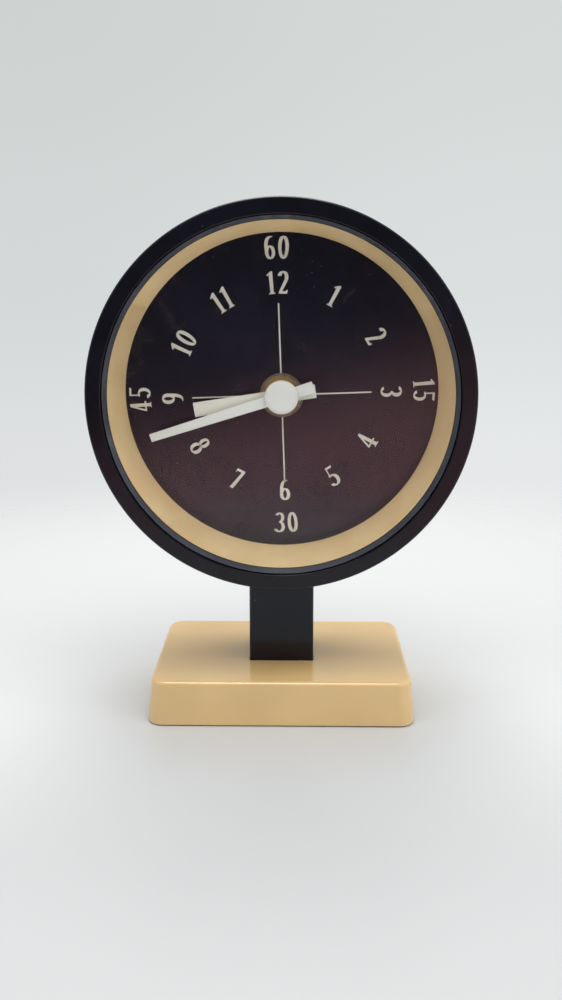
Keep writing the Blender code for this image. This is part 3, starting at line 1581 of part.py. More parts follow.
def train_wheel(name, at, wheel_teeth, driver_layer, layer, driver, driven, parts, cutters, finish_of):
    """A wheel whose pinion meshes with the wheel one layer further forward.

    driver holds the pinion's teeth, its module and the bearing from the wheel that it meshes with;
    driven holds the wheel's module and the bearing to the pinion that it meshes with.
    """
    pinion_teeth, pinion_module, pinion_bearing = driver
    wheel_module, wheel_bearing = driven
    back = layer + FINE_WHEEL_THICKNESS
    pinion_front = driver_layer - PINION_OVERLAP
    return compound_wheel(
        name,
        at,
        (wheel_teeth, wheel_module, tooth_phase(wheel_bearing), layer, back),
        (
            pinion_teeth,
            pinion_module,
            gap_phase(pinion_bearing, pinion_teeth),
            pinion_front,
            layer + FINE_WHEEL_THICKNESS / 2,
        ),
        train_shaft(pinion_front, CASE_BACK_INNER - LOOSE_GAP),
        None,
        finish_of,
        parts,
        cutters,
    )


def make_train_wheels(parts, cutters, finish):
    train_wheel(
        "third_wheel",
        THIRD_AT,
        THIRD_TEETH,
        CENTRE_LAYER,
        THIRD_LAYER,
        (THIRD_PINION_TEETH, CENTRE_MODULE, THIRD_BEARING),
        (TRAIN_MODULE, FOURTH_BEARING),
        parts,
        cutters,
        finish["white_plastic"],
    )
    train_wheel(
        "fourth_wheel",
        FOURTH_AT,
        FOURTH_TEETH,
        THIRD_LAYER,
        FOURTH_LAYER,
        (FOURTH_PINION_TEETH, TRAIN_MODULE, FOURTH_BEARING),
        (TRAIN_MODULE, INTERMEDIATE_BEARING),
        parts,
        cutters,
        finish["white_plastic"],
    )
    train_wheel(
        "intermediate_wheel",
        INTERMEDIATE_AT,
        INTERMEDIATE_TEETH,
        FOURTH_LAYER,
        INTERMEDIATE_LAYER,
        (INTERMEDIATE_PINION_TEETH, TRAIN_MODULE, INTERMEDIATE_BEARING),
        (TRAIN_MODULE, ROTOR_BEARING),
        parts,
        cutters,
        finish["white_plastic"],
    )


def make_rotor(parts, cutters, finish):
    magnet_middle = STATOR_DEPTH + STATOR_THICKNESS / 2
    magnet_front = magnet_middle - ROTOR_MAGNET_LENGTH / 2
    magnet_back = magnet_middle + ROTOR_MAGNET_LENGTH / 2
    pinion = gear_solid(
        "rotor",
        ROTOR_PINION_TEETH,
        TRAIN_MODULE,
        gap_phase(ROTOR_BEARING, ROTOR_PINION_TEETH),
        INTERMEDIATE_LAYER - PINION_OVERLAP,
        INTERMEDIATE_BACK + PINION_OVERLAP,
        finish["magnet"],
        parts,
    )
    shaft = arbor(
        "rotor_shaft",
        [
            (PIVOT_RADIUS, TRAIN_PLATE_DEPTH + PIVOT_GAP, magnet_front),
            (ROTOR_MAGNET_RADIUS, magnet_front, magnet_back),
            (ARBOR_RADIUS, magnet_back, CASE_BACK_INNER - LOOSE_GAP),
            (PIVOT_RADIUS, CASE_BACK_INNER - LOOSE_GAP, ARBOR_END),
        ],
        None,
        cutters,
    )
    join(pinion, shaft)
    for each in (pinion, shaft):
        stand_on_axis(each, ROTOR_AT)


# Motor and electronics


def make_stator(parts, finish):
    window_left = -STATOR_LEFT + EAR_WIDTH
    window_right = STATOR_RIGHT - EAR_WIDTH
    window_bottom = COIL_AXIS_RISE - COIL_RADIUS - FIT_GAP
    outline = [
        (-STATOR_LEFT, STATOR_BOTTOM),
        (STATOR_RIGHT, STATOR_BOTTOM),
        (STATOR_RIGHT, STATOR_TOP),
        (window_right, STATOR_TOP),
        (window_right, window_bottom),
        (window_left, window_bottom),
        (window_left, STATOR_TOP),
        (-STATOR_LEFT, STATOR_TOP),
    ]
    hole = circle_outline(ROTOR_MAGNET_RADIUS + STATOR_HOLE_GAP, SMALL_TURN_STEPS, ROTOR_AT)
    stator = plate(
        "stator", [outline, hole], STATOR_DEPTH, STATOR_DEPTH + STATOR_THICKNESS, finish["steel"], parts
    )
    stand_on_axis(stator)


def make_coil(parts, cutters, finish):
    half = COIL_LENGTH / 2
    winding = half - COIL_FLANGE
    profile = [
        (0.0, -half),
        (COIL_RADIUS, -half),
        (COIL_RADIUS, -winding),
        (COIL_WIRE_RADIUS, -winding),
        (COIL_WIRE_RADIUS, winding),
        (COIL_RADIUS, winding),
        (COIL_RADIUS, half),
        (0.0, half),
    ]
    core_middle = CORE_DEPTH + CORE_THICKNESS / 2
    coil = turned("coil", profile, finish["copper"], parts, SMALL_TURN_STEPS, closed=False)
    coil.location = (COIL_LEFT + half, RIM_Y + core_middle, AXIS_HEIGHT + COIL_AXIS_RISE)
    coil.rotation_euler = (0.0, math.pi / 2, 0.0)
    slot = clock_block(
        "coil_slot",
        COIL_LEFT - CUT_OVERRUN,
        COIL_LEFT + COIL_LENGTH + CUT_OVERRUN,
        COIL_AXIS_RISE - COIL_BORE_HALF_HEIGHT,
        COIL_AXIS_RISE + COIL_BORE_HALF_HEIGHT,
        core_middle - COIL_BORE_HALF_DEPTH,
        core_middle + COIL_BORE_HALF_DEPTH,
        None,
        cutters,
    )
    cut(coil, slot)
    clock_block(
        "coil_core",
        -STATOR_LEFT + LOOSE_GAP,
        STATOR_RIGHT - LOOSE_GAP,
        COIL_AXIS_RISE - CORE_HALF_HEIGHT,
        COIL_AXIS_RISE + CORE_HALF_HEIGHT,
        CORE_DEPTH,
        CORE_DEPTH + CORE_THICKNESS,
        finish["steel"],
        parts,
    )


def make_electronics(parts, finish):
    board_front = TRAIN_PLATE_BACK + SEAT_GAP
    board_back = board_front + BOARD_THICKNESS
    clock_block(
        "circuit_board",
        BOARD_LEFT,
        BOARD_RIGHT,
        -BOARD_BOTTOM,
        BOARD_TOP,
        board_front,
        board_back,
        finish["board"],
        parts,
    )
    seat = board_back + SEAT_GAP
    chip_left = BOARD_LEFT + CHIP_MARGIN
    chip_bottom = -BOARD_BOTTOM + CHIP_RISE
    clock_block(
        "control_chip",
        chip_left,
        chip_left + CHIP_WIDTH,
        chip_bottom,
        chip_bottom + CHIP_WIDTH,
        seat,
        seat + CHIP_THICKNESS,
        finish["black"],
        parts,
    )
    half = RESONATOR_LENGTH / 2
    profile = [
        (0.0, -half),
        (RESONATOR_RADIUS - RESONATOR_EDGE, -half),
        (RESONATOR_RADIUS, -half + RESONATOR_EDGE),
        (RESONATOR_RADIUS, half),
        (0.0, half),
    ]
    can = turned("quartz_resonator", profile, finish["steel"], parts, PIVOT_STEPS, closed=False)
    can.location = (
        BOARD_RIGHT - RESONATOR_RADIUS - LOOSE_GAP,
        RIM_Y + seat + RESONATOR_RADIUS,
        AXIS_HEIGHT + BOARD_TOP - half - RESONATOR_DROP,
    )


def make_battery(parts, finish):
    half = BATTERY_LENGTH / 2
    contact_inner = BAY_HALF_LENGTH - LOOSE_GAP - CONTACT_THICKNESS
    nub_tip = contact_inner - LOOSE_GAP
    profile = [
        (0.0, -half - BATTERY_NUB_LENGTH),
        (BATTERY_NUB_RADIUS, -half - BATTERY_NUB_LENGTH),
        (BATTERY_NUB_RADIUS, -half),
        (BATTERY_RADIUS - BATTERY_EDGE, -half),
        (BATTERY_RADIUS, -half + BATTERY_EDGE),
        (BATTERY_RADIUS, half - BATTERY_EDGE),
        (BATTERY_RADIUS - BATTERY_EDGE, half),
        (0.0, half),
    ]
    middle = nub_tip - BATTERY_NUB_LENGTH - half
    battery = turned("battery", profile, finish["battery"], parts, SMALL_TURN_STEPS, closed=False)
    battery.location = (middle, RIM_Y + BATTERY_DEPTH, AXIS_HEIGHT + BAY_MIDDLE)
    battery.rotation_euler = (0.0, math.pi / 2, 0.0)
    smooth(battery)
    clock_block(
        "contact_positive",
        contact_inner,
        contact_inner + CONTACT_THICKNESS,
        BAY_MIDDLE - CONTACT_WIDTH / 2,
        BAY_MIDDLE + CONTACT_WIDTH / 2,
        BATTERY_DEPTH - CONTACT_WIDTH / 2,
        BATTERY_DEPTH + CONTACT_WIDTH / 2,
        finish["steel"],
        parts,
    )
    spring_profile = [
        (0.0, -CONTACT_SPRING_LENGTH),
        (CONTACT_SPRING_TIP_RADIUS, -CONTACT_SPRING_LENGTH),
        (CONTACT_SPRING_RADIUS, 0.0),
        (CONTACT_RADIUS, 0.0),
        (CONTACT_RADIUS, CONTACT_THICKNESS),
        (0.0, CONTACT_THICKNESS),
    ]
    contact = turned(
        "contact_negative", spring_profile, finish["steel"], parts, SMALL_TURN_STEPS, closed=False
    )
    contact.location = (-contact_inner, RIM_Y + BATTERY_DEPTH, AXIS_HEIGHT + BAY_MIDDLE)
    contact.rotation_euler = (0.0, math.pi / 2, 0.0)


# Hands and knob


def make_hand(name, sizes, depth, bore, collar_end, angle, finish_of, parts, cutters):
    """A flat tapered bar with a round hub and a collar behind it that grips its shaft."""
    length, tail, tip_width, tail_width = sizes
    outline = [
        (-tip_width / 2, length),
        (tip_width / 2, length),
        (tail_width / 2, -tail),
        (-tail_width / 2, -tail),
    ]
    back = depth + HAND_THICKNESS
    hand = plate(name, [outline], depth, back, finish_of, parts)
    collar = arbor(
        f"{name}_collar",
        [(HAND_HUB_RADIUS, depth, back), (bore + HAND_COLLAR_WALL, back, collar_end)],
        None,
        cutters,
        SMALL_TURN_STEPS,
    )
    hole = disc(
        f"{name}_bore", bore, depth - CUT_OVERRUN, collar_end + CUT_OVERRUN, None, cutters, PIVOT_STEPS
    )
    join(hand, collar)
    cut(hand, hole)
    for each in (hand, collar, hole):
        stand_on_axis(each, CENTRE_AT, angle)
    return hand


def make_hands(parts, cutters, finish):
    hour = make_hand(
        "hour_hand",
        (HOUR_HAND_LENGTH, HOUR_HAND_TAIL, HOUR_HAND_TIP_WIDTH, HOUR_HAND_TAIL_WIDTH),
        HOUR_HAND_DEPTH,
        HOUR_PIPE_RADIUS + HAND_GRIP_GAP,
        BUSH_TIP_DEPTH - FIT_GAP,
        HOUR_ANGLE,
        finish["white"],
        parts,
        cutters,
    )
    minute = make_hand(
        "minute_hand",
        (
            MINUTE_HAND_LENGTH,
            MINUTE_HAND_TAIL,
            MINUTE_HAND_TIP_WIDTH,
            MINUTE_HAND_TAIL_WIDTH,
        ),
        MINUTE_HAND_DEPTH,
        MINUTE_ARBOR_RADIUS + HAND_GRIP_GAP,
        HOUR_HAND_DEPTH - FIT_GAP,
        MINUTE_ANGLE,
        finish["white"],
        parts,
        cutters,
    )
    cap_back = MINUTE_HAND_DEPTH - FIT_GAP
    cap_front = cap_back - CAP_THICKNESS
    profile = [
        (0.0, cap_front),
        (CAP_TOP_RADIUS, cap_front),
        (CAP_RADIUS, cap_front + CAP_CHAMFER),
        (CAP_RADIUS, cap_back),
        (0.0, cap_back),
    ]
    cap = turned("minute_hand_cap", profile, finish["white"], parts, HUB_TURN_STEPS, closed=False)
    smooth(stand_on_axis(cap))
    return hour, minute, cap


def make_setting_knob(parts, cutters, finish):
    """A fluted knob on the end of the motion arbor."""
    front = CASE_BACK + LOOSE_GAP
    outline = []
    for index in range(2 * KNOB_FLUTES):
        turn = math.pi * index / KNOB_FLUTES
        radius = KNOB_RADIUS - (KNOB_FLUTE_DEPTH if index % 2 else 0.0)
        outline.append((radius * math.sin(turn), radius * math.cos(turn)))
    knob = plate("setting_knob", [outline], front, front + KNOB_LENGTH, finish["black"], parts)
    bore = disc(
        "knob_bore",
        MOTION_ARBOR_RADIUS + HAND_GRIP_GAP,
        front - CUT_OVERRUN,
        front + KNOB_BORE_DEPTH,
        None,
        cutters,
        PIVOT_STEPS,
    )
    cut(knob, bore)
    for each in (knob, bore):
        stand_on_axis(each, MOTION_AT)
    return knob


def hang_on(name, at, pieces):
    """An empty on a moving body's axis, which carries the body's pieces."""
    empty = bpy.data.objects.new(name, None)
    empty.empty_display_size = CAP_RADIUS
    bpy.context.scene.collection.objects.link(empty)
    empty.location = (at[0], RIM_Y, AXIS_HEIGHT + at[1])
    bpy.context.view_layer.update()
    for piece in pieces:
        piece.parent = empty
        piece.matrix_parent_inverse = empty.matrix_world.inverted()


def make_finishes():
    return {
        "black": plastic("black_plastic", (0.012, 0.012, 0.015), 0.35),
        "slate": plastic("slate_gloss", (0.03, 0.032, 0.038), 0.12),
        "clear": plastic("clear_acrylic", (0.95, 0.97, 0.97), 0.03, 0.0, 1.0),
        "tan": plastic("tan_plastic", (0.62, 0.43, 0.22), 0.45),
        "dial": plastic("dial_lacquer", (0.008, 0.008, 0.014), 0.3),
        "white": plastic("hand_enamel", (0.72, 0.72, 0.68), 0.4),
        "white_plastic": plastic("wheel_plastic", (0.78, 0.77, 0.72), 0.45),
        "case": plastic("movement_plastic", (0.05, 0.05, 0.055), 0.5),
        "brass": plastic("brass", (0.62, 0.44, 0.18), 0.35, 1.0),
        "steel": plastic("steel", (0.55, 0.56, 0.57), 0.35, 1.0),
        "magnet": plastic("magnet", (0.09, 0.09, 0.10), 0.4, 0.6),
        "copper": plastic("copper_wire", (0.60, 0.26, 0.12), 0.35, 0.8),
        "board": plastic("board_laminate", (0.03, 0.16, 0.07), 0.5),
        "battery": plastic("battery_sleeve", (0.10, 0.12, 0.16), 0.35, 0.2),
        "rubber": plastic("rubber", (0.02, 0.02, 0.02), 0.8),
        "felt": plastic("pad_felt", (0.04, 0.05, 0.04), 0.95),
    }


def main():
    clear_scene()
    parts = new_collection("desk_clock")
    cutters = new_collection("cutters")
    finish = make_finishes()
    make_bezel(parts, finish)
    make_crystal_ring(parts, finish)
    make_crystal(parts, finish)
    make_reflector_ring(parts, finish)
    make_dial(parts, finish)
    make_drum_housing(parts, cutters, finish)
    make_rear_cover(parts, cutters, finish)
    make_rear_cover_screws(parts, cutters, finish)
    make_battery_door(parts, cutters, finish)
    make_base_shell(parts, cutters, finish)
    make_base_cover(parts, cutters, finish)
    make_base_screws(parts, cutters, finish)
    make_base_pad(parts, finish)
    make_ballast_plate(parts, cutters, finish)
    make_stem(parts, cutters, finish)
    make_stem_top_screws(parts, cutters, finish)
    make_movement_front_plate(parts, cutters, finish)
    make_mounting_washers(parts, finish)
    make_train_plate(parts, cutters, finish)
    make_movement_rear_case(parts, cutters, finish)
    minute_arbor = make_minute_arbor(parts, cutters, finish)
    hour_wheel = make_hour_wheel(parts, cutters, finish)
    motion_wheel = make_motion_wheel(parts, cutters, finish)
    make_centre_wheel(parts, cutters, finish)
    make_train_wheels(parts, cutters, finish)
    make_rotor(parts, cutters, finish)
    make_stator(parts, finish)
    make_coil(parts, cutters, finish)
    make_electronics(parts, finish)
    make_battery(parts, finish)
    hour_hand, minute_hand, cap = make_hands(parts, cutters, finish)
    knob = make_setting_knob(parts, cutters, finish)
    hang_on("minute_axis", CENTRE_AT, (minute_hand, cap, minute_arbor))
    hang_on("hour_axis", CENTRE_AT, (hour_hand, hour_wheel))
    hang_on("setting_axis", MOTION_AT, (motion_wheel, knob))


main()
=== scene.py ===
# %% [markdown]
# # A round desk clock
# The clock is a black drum on a short stem, with a sand-coloured base and a tan ring round a dark dial.
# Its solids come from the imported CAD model, which is loaded first and stays as it is.
# Each lesson then gives one piece or one finish the detail that the real one shows: a finer mesh where
# a round edge catches the light, and a material made of nodes for every surface.

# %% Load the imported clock
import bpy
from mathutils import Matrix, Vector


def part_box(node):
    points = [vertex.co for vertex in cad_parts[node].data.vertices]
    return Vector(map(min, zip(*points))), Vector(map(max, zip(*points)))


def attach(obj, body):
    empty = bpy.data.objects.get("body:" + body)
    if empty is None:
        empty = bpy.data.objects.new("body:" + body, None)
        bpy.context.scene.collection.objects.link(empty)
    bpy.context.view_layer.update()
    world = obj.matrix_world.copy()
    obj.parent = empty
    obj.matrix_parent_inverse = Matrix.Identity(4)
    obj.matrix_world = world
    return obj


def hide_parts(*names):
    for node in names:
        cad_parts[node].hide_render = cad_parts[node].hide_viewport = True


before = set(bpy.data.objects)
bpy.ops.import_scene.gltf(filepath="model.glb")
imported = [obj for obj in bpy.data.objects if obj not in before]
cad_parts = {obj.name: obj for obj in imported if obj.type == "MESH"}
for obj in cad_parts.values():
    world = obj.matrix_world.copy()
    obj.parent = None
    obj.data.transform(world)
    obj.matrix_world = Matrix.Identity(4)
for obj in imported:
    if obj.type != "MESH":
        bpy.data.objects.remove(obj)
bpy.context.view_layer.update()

# %% The tools of this lesson
import math

import bmesh
import bpy
from mathutils import Euler, Matrix, Vector

MM = 0.001

# %% [markdown]
# ## Where things are
# Most pieces sit on the clock's own axis, a line that runs from the front to the back through the
# middle of the dial. Its height is read from the dial's box, so nothing here has to be fitted by eye.

# %% Read the axis and the sizes from the CAD boxes
dial_low, dial_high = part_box("dial")
AXIS = Vector(((dial_low.x + dial_high.x) / 2, 0.0, (dial_low.z + dial_high.z) / 2))


def span(node, side):
    """Lowest and highest place of a node along x, y or z."""
    low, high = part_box(node)
    return getattr(low, side), getattr(high, side)


def reach(node):
    """Radius of a round node."""
    left, right = span(node, "x")
    return (right - left) / 2


print("axis height", round(AXIS.z / MM, 2), "mm, dial radius", round(reach("dial") / MM, 2), "mm")

# %% [markdown]
# ## The camera
# The photograph was taken from a little above, with a wide phone lens close to the clock. The vertical
# direction of the base's sides and the size of the round rim at the top give the lens and the place.

# %% Set the camera
CAMERA_PLACE = Vector((3.61, -289.83, 144.1)) * MM
CAMERA_TILT = math.radians(14.224)
CAMERA_TURN = math.radians(0.770)
PICTURE_HEIGHT = 1000
FOCAL_PIXELS = 868.0
SENSOR = 36.0

camera_data = bpy.data.cameras.new("camera")
camera_data.sensor_fit = "AUTO"
camera_data.sensor_width = SENSOR
camera_data.lens = FOCAL_PIXELS / PICTURE_HEIGHT * SENSOR
camera_data.clip_start = 10 * MM
camera = bpy.data.objects.new("camera", camera_data)
camera.location = CAMERA_PLACE
camera.rotation_euler = Euler((math.pi / 2 - CAMERA_TILT, 0.0, CAMERA_TURN))
bpy.context.scene.collection.objects.link(camera)
bpy.context.scene.camera = camera
bpy.context.scene.view_settings.view_transform = "Standard"
print("lens", round(camera_data.lens, 2), "mm on a", SENSOR, "mm picture height")

# %% [markdown]
# ## Nodes without clutter
# A material is a small web of nodes. One helper adds a node and feeds its sockets, either with a value
# or with another node's output, so that each recipe below reads from top to bottom.


# %% A helper that adds and feeds a node
def add_node(tree, kind, feeds=None, **settings):
    """Adds a node, sets its settings, and feeds its sockets with values or with outputs."""
    node = tree.nodes.new(kind)
    for key, value in settings.items():
        setattr(node, key, value)
    for key, value in (feeds or {}).items():
        socket = node.inputs[key]
        if isinstance(value, bpy.types.NodeSocket):
            tree.links.new(value, socket)
        else:
            socket.default_value = value
    return node


def math_node(tree, operation, *values, clamp=False):
    """One step of arithmetic on numbers or outputs."""
    feeds = dict(enumerate(values))
    return add_node(tree, "ShaderNodeMath", feeds, operation=operation, use_clamp=clamp).outputs[0]


def mix_colors(tree, mask, first, second):
    """The first colour where the mask is 0, the second where it is 1."""
    feeds = {0: mask, 6: first, 7: second}
    return add_node(tree, "ShaderNodeMix", feeds, data_type="RGBA").outputs[2]


def stretch_range(tree, value, low, high, to_low=0.0, to_high=1.0):
    """Maps a value from one range to another with soft ends."""
    feeds = {0: value, 1: low, 2: high, 3: to_low, 4: to_high}
    return add_node(
        tree, "ShaderNodeMapRange", feeds, interpolation_type="SMOOTHSTEP"
    ).outputs[0]


def paint(red, green, blue):
    """A colour as it looks on screen, from 0 to 255, turned into the linear values that nodes use."""
    linear = []
    for part in (red, green, blue):
        share = part / 255
        linear.append(share / 12.92 if share <= 0.04045 else ((share + 0.055) / 1.055) ** 2.4)
    return (*linear, 1.0)


print("sand on screen", [round(v, 3) for v in paint(220, 188, 142)[:3]])

# %% [markdown]
# ## The room
# The clock stands on a white table in a white corner. For the camera the world is only a pale background,
# a little darker towards the top. For everything else it is the light of the room: strongest from the
# sides of the front half, where it reaches into the deep ring round the dial, and weakest from straight
# ahead.
# A ray that a glossy surface mirrors sees a dark side in front: the dial and the black rim stay dark, as
# they are in the photograph, with a warm tone low down. A ray that the dial mirrors leaves through the
# crystal as a transmission ray, so both kinds are asked for. One that a dull surface scattered before has
# a diffuse depth, and sees the light of the room. Mirrors also see a bright skylight, high up and a little
# to the left: it draws the thin lines of light on round edges, such as the front of the base.


# %% A helper for ramps
def ramp_node(tree, value, stops):
    """A soft colour ramp from (place, colour) stops."""
    node = add_node(tree, "ShaderNodeValToRGB", {0: value})
    ramp = node.color_ramp
    ramp.interpolation = "EASE"
    while len(ramp.elements) < len(stops):
        ramp.elements.new(0.5)
    for element, (place, color) in zip(ramp.elements, stops):
        element.position = place
        element.color = color
    return node.outputs["Color"]


# %% Background for the camera
BACKGROUND = (
    (0.34, paint(240, 241, 242)),
    (0.40, paint(230, 232, 233)),
    (0.50, paint(219, 223, 223)),
    (0.635, paint(213, 217, 216)),
)
SHADED_LEFT = 0.93
SHADED_SIDES = (-0.30, 0.25)

world = bpy.data.worlds.new("white_corner")
world.use_nodes = True
room = world.node_tree
room.nodes.clear()
toward = add_node(room, "ShaderNodeSeparateXYZ", {
    0: add_node(room, "ShaderNodeTexCoord").outputs["Generated"],
}).outputs
rise = math_node(room, "MULTIPLY_ADD", toward["Z"], 0.5, 0.5)
shade = stretch_range(room, toward["X"], *SHADED_SIDES, SHADED_LEFT, 1.0)
seen = add_node(
    room,
    "ShaderNodeVectorMath",
    {0: ramp_node(room, rise, BACKGROUND), 3: shade},
    operation="SCALE",
).outputs[0]
print("background stops", len(BACKGROUND))

# %% Light that scattered rays see
ROOM_LIGHT = (
    (0.00, (0.56, 0.57, 0.58, 1.0)),
    (0.50, (0.62, 0.63, 0.64, 1.0)),
    (0.58, (1.80, 1.79, 1.76, 1.0)),
    (0.74, (1.80, 1.79, 1.76, 1.0)),
    (0.88, (0.30, 0.30, 0.31, 1.0)),
)
STRONGER_SIDES = (-0.7, 0.7, 0.92, 1.25)
TABLE_GLOW_HEIGHT = (-0.30, -0.02)
TABLE_GLOW_FRONT = (0.55, 0.75)

front = math_node(room, "MULTIPLY_ADD", toward["Y"], -0.5, 0.5)
from_right = stretch_range(room, toward["X"], *STRONGER_SIDES)
from_below = math_node(
    room,
    "MULTIPLY",
    stretch_range(room, toward["Z"], *TABLE_GLOW_HEIGHT, 1.0, 0.0),
    stretch_range(room, front, *TABLE_GLOW_FRONT),
)
stronger = math_node(room, "MULTIPLY", from_right, math_node(room, "ADD", from_below, 1.0))
scattered = add_node(
    room,
    "ShaderNodeVectorMath",
    {0: ramp_node(room, front, ROOM_LIGHT), 3: stronger},
    operation="SCALE",
).outputs[0]
print("room light stops", len(ROOM_LIGHT))

# %% The dark side and the skylight that mirrors see
DARK_SIDE = (0.024, 0.024, 0.036, 1.0)
DARK_SIDE_EDGE = (0.77, 0.94)
WARM_SIDE = (0.80, 0.40, 0.42, 1.0)
WARM_SIDE_SLANT = -0.25
WARM_SIDE_EDGE = (-0.20, -0.07)
SKYLIGHT = (4.5, 4.5, 4.6, 1.0)
SKYLIGHT_ACROSS = (-0.58, -0.48, -0.04, 0.06)
SKYLIGHT_AHEAD = (-0.34, -0.28, -0.10, -0.04)


def soft_band(value, start, full, fading, end):
    """1 inside a band of directions and 0 outside it, with soft edges."""
    return math_node(
        room,
        "MULTIPLY",
        stretch_range(room, value, start, full),
        stretch_range(room, value, fading, end, 1.0, 0.0),
    )


slant = math_node(room, "MULTIPLY_ADD", toward["X"], WARM_SIDE_SLANT, toward["Z"])
low_share = stretch_range(room, slant, *WARM_SIDE_EDGE, 1.0, 0.0)
front_side = mix_colors(room, low_share, DARK_SIDE, WARM_SIDE)
front_share = stretch_range(room, front, *DARK_SIDE_EDGE)
overhead = math_node(
    room,
    "MULTIPLY",
    soft_band(toward["X"], *SKYLIGHT_ACROSS),
    soft_band(toward["Y"], *SKYLIGHT_AHEAD),
)
above = math_node(room, "GREATER_THAN", toward["Z"], 0.0)
skylight_share = math_node(room, "MULTIPLY", overhead, above)
mirrored = mix_colors(room, front_share, seen, front_side)
mirrored = mix_colors(room, skylight_share, mirrored, SKYLIGHT)
print("dark side", DARK_SIDE[:3], "warm side", WARM_SIDE[:3])

# %% Give each kind of ray its own view
ray = add_node(room, "ShaderNodeLightPath").outputs
mirrored_ray = math_node(room, "MAXIMUM", ray["Is Glossy Ray"], ray["Is Transmission Ray"])
unscattered = math_node(room, "LESS_THAN", ray["Diffuse Depth"], 0.5)
sees_mirrored = math_node(room, "MULTIPLY", mirrored_ray, unscattered)
lit = mix_colors(room, sees_mirrored, scattered, mirrored)
shown = mix_colors(room, ray["Is Camera Ray"], lit, seen)
sky = add_node(room, "ShaderNodeBackground", {"Color": shown, "Strength": 1.0})
add_node(room, "ShaderNodeOutputWorld", {"Surface": sky.outputs[0]})
bpy.context.scene.world = world
print("world", world.name, len(room.nodes), "nodes")

# %% [markdown]
# ## The table
# The table is a round white sheet that fades out behind the clock, so there is no line where it ends.
# Its colour is painted a little lighter towards the back: painted light for the brightest strip of the
# table.
# Its surface is a little glossy, so the base leaves a weak warm reflection in front of it.

# %% Lay the table
TABLE_RADIUS = 600 * MM
FADE_FROM = 150 * MM
FADE_TO = 400 * MM
# Painted light: between these depths the table's colour turns lighter towards the back.
PAINTED_LIGHT_FROM = -110 * MM
PAINTED_LIGHT_TO = -30 * MM
TABLE_NEAR = paint(180, 182, 184)
TABLE_BACK_PAINTED_LIGHT = paint(193, 195, 196)

table_mesh = bpy.data.meshes.new("table")
table_shape = bmesh.new()
bmesh.ops.create_circle(table_shape, cap_ends=True, segments=96, radius=TABLE_RADIUS)
table_shape.to_mesh(table_mesh)
table_shape.free()
table = bpy.data.objects.new("table", table_mesh)
bpy.context.scene.collection.objects.link(table)

table_finish = bpy.data.materials.new("white_table")
table_finish.use_nodes = True
tree = table_finish.node_tree
surface = tree.nodes["Principled BSDF"]
surface.inputs["Roughness"].default_value = 0.30
surface.inputs["Specular IOR Level"].default_value = 0.35
ground = add_node(tree, "ShaderNodeTexCoord").outputs["Object"]
ground_back = add_node(tree, "ShaderNodeSeparateXYZ", {0: ground}).outputs["Y"]
# Painted light: the share of the lighter colour grows towards the back.
behind = stretch_range(tree, ground_back, PAINTED_LIGHT_FROM, PAINTED_LIGHT_TO)
tree.links.new(
    mix_colors(tree, behind, TABLE_NEAR, TABLE_BACK_PAINTED_LIGHT), surface.inputs["Base Color"]
)
distance = add_node(tree, "ShaderNodeVectorMath", {0: ground}, operation="LENGTH").outputs["Value"]
fade = stretch_range(tree, distance, FADE_FROM, FADE_TO)
clear = add_node(tree, "ShaderNodeBsdfTransparent")
faded = add_node(
    tree, "ShaderNodeMixShader", {0: fade, 1: surface.outputs[0], 2: clear.outputs[0]}
)
tree.links.new(faded.outputs[0], tree.nodes["Material Output"].inputs["Surface"])
table_mesh.materials.append(table_finish)
print("table radius", TABLE_RADIUS, "m, fades from", FADE_FROM, "to", FADE_TO)

# %% [markdown]
# ## The lamps
# Two broad lamps hang overhead, one a little in front of the clock and one a little behind it. Together
# they draw the soft shadow of the drum across the middle of the base and leave its edges bright.


# %% Hang the lamps
LAMP_SIZE = 0.5
LAMP_COLOR = (1.0, 0.98, 0.95)


def hang_lamp(name, place, target, watts):
    """A round lamp that hangs at a place and shines at a target."""
    data = bpy.data.lights.new(name, "AREA")
    data.shape = "DISK"
    data.size = LAMP_SIZE
    data.energy = watts
    data.color = LAMP_COLOR
    lamp = bpy.data.objects.new(name, data)
    lamp.location = place
    aim = Vector(target) - Vector(place)
    lamp.rotation_euler = aim.to_track_quat("-Z", "Y").to_euler()
    bpy.context.scene.collection.objects.link(lamp)
    print(name, watts, "W,", LAMP_SIZE, "m across")


hang_lamp("ceiling_front", (0.03, -0.20, 0.90), (0.0, 0.0, 0.0), 2.2)
hang_lamp("ceiling_back", (-0.02, 0.24, 0.90), (0.0, 0.05, 0.0), 5.0)

# %% [markdown]
# ## Shared surface effects
# Several materials need the same things: fine grain, slow cloudy changes, specks of dust, wear along
# edges, and the fine lines that a lathe leaves. Each effect is one node group with named inputs, so a
# material places it with its own values. A group only puts out numbers; the shader stays outside it.


# %% A helper that starts a node group
def start_group(name, inputs, outputs):
    """A new shader group with float inputs (name, value) and float outputs (name)."""
    group = bpy.data.node_groups.new(name, "ShaderNodeTree")
    for label, value in inputs:
        socket = group.interface.new_socket(
            name=label, in_out="INPUT", socket_type="NodeSocketFloat"
        )
        socket.default_value = value
    for label in outputs:
        group.interface.new_socket(name=label, in_out="OUTPUT", socket_type="NodeSocketFloat")
    given = group.nodes.new("NodeGroupInput").outputs
    result = group.nodes.new("NodeGroupOutput").inputs
    return group, given, result


def object_place(tree):
    """The point on the piece, in metres, which moves with the piece."""
    return add_node(tree, "ShaderNodeTexCoord").outputs["Object"]


def place_parts(tree):
    """The x, y and z of that point."""
    return add_node(tree, "ShaderNodeSeparateXYZ", {0: object_place(tree)}).outputs


def noise_on(tree, scale, detail, **more):
    """A noise that stays on the piece, from 0 to 1."""
    feeds = {"Vector": object_place(tree), "Scale": scale, "Detail": detail, **more}
    return add_node(tree, "ShaderNodeTexNoise", feeds).outputs[0]


# %% [markdown]
# ### Moulded grain
# Moulded plastic is never quite smooth. Two noises do it: a fine one for the grain of the steel mould,
# and a slow one for the cloudy changes in gloss and colour that a large moulding shows.

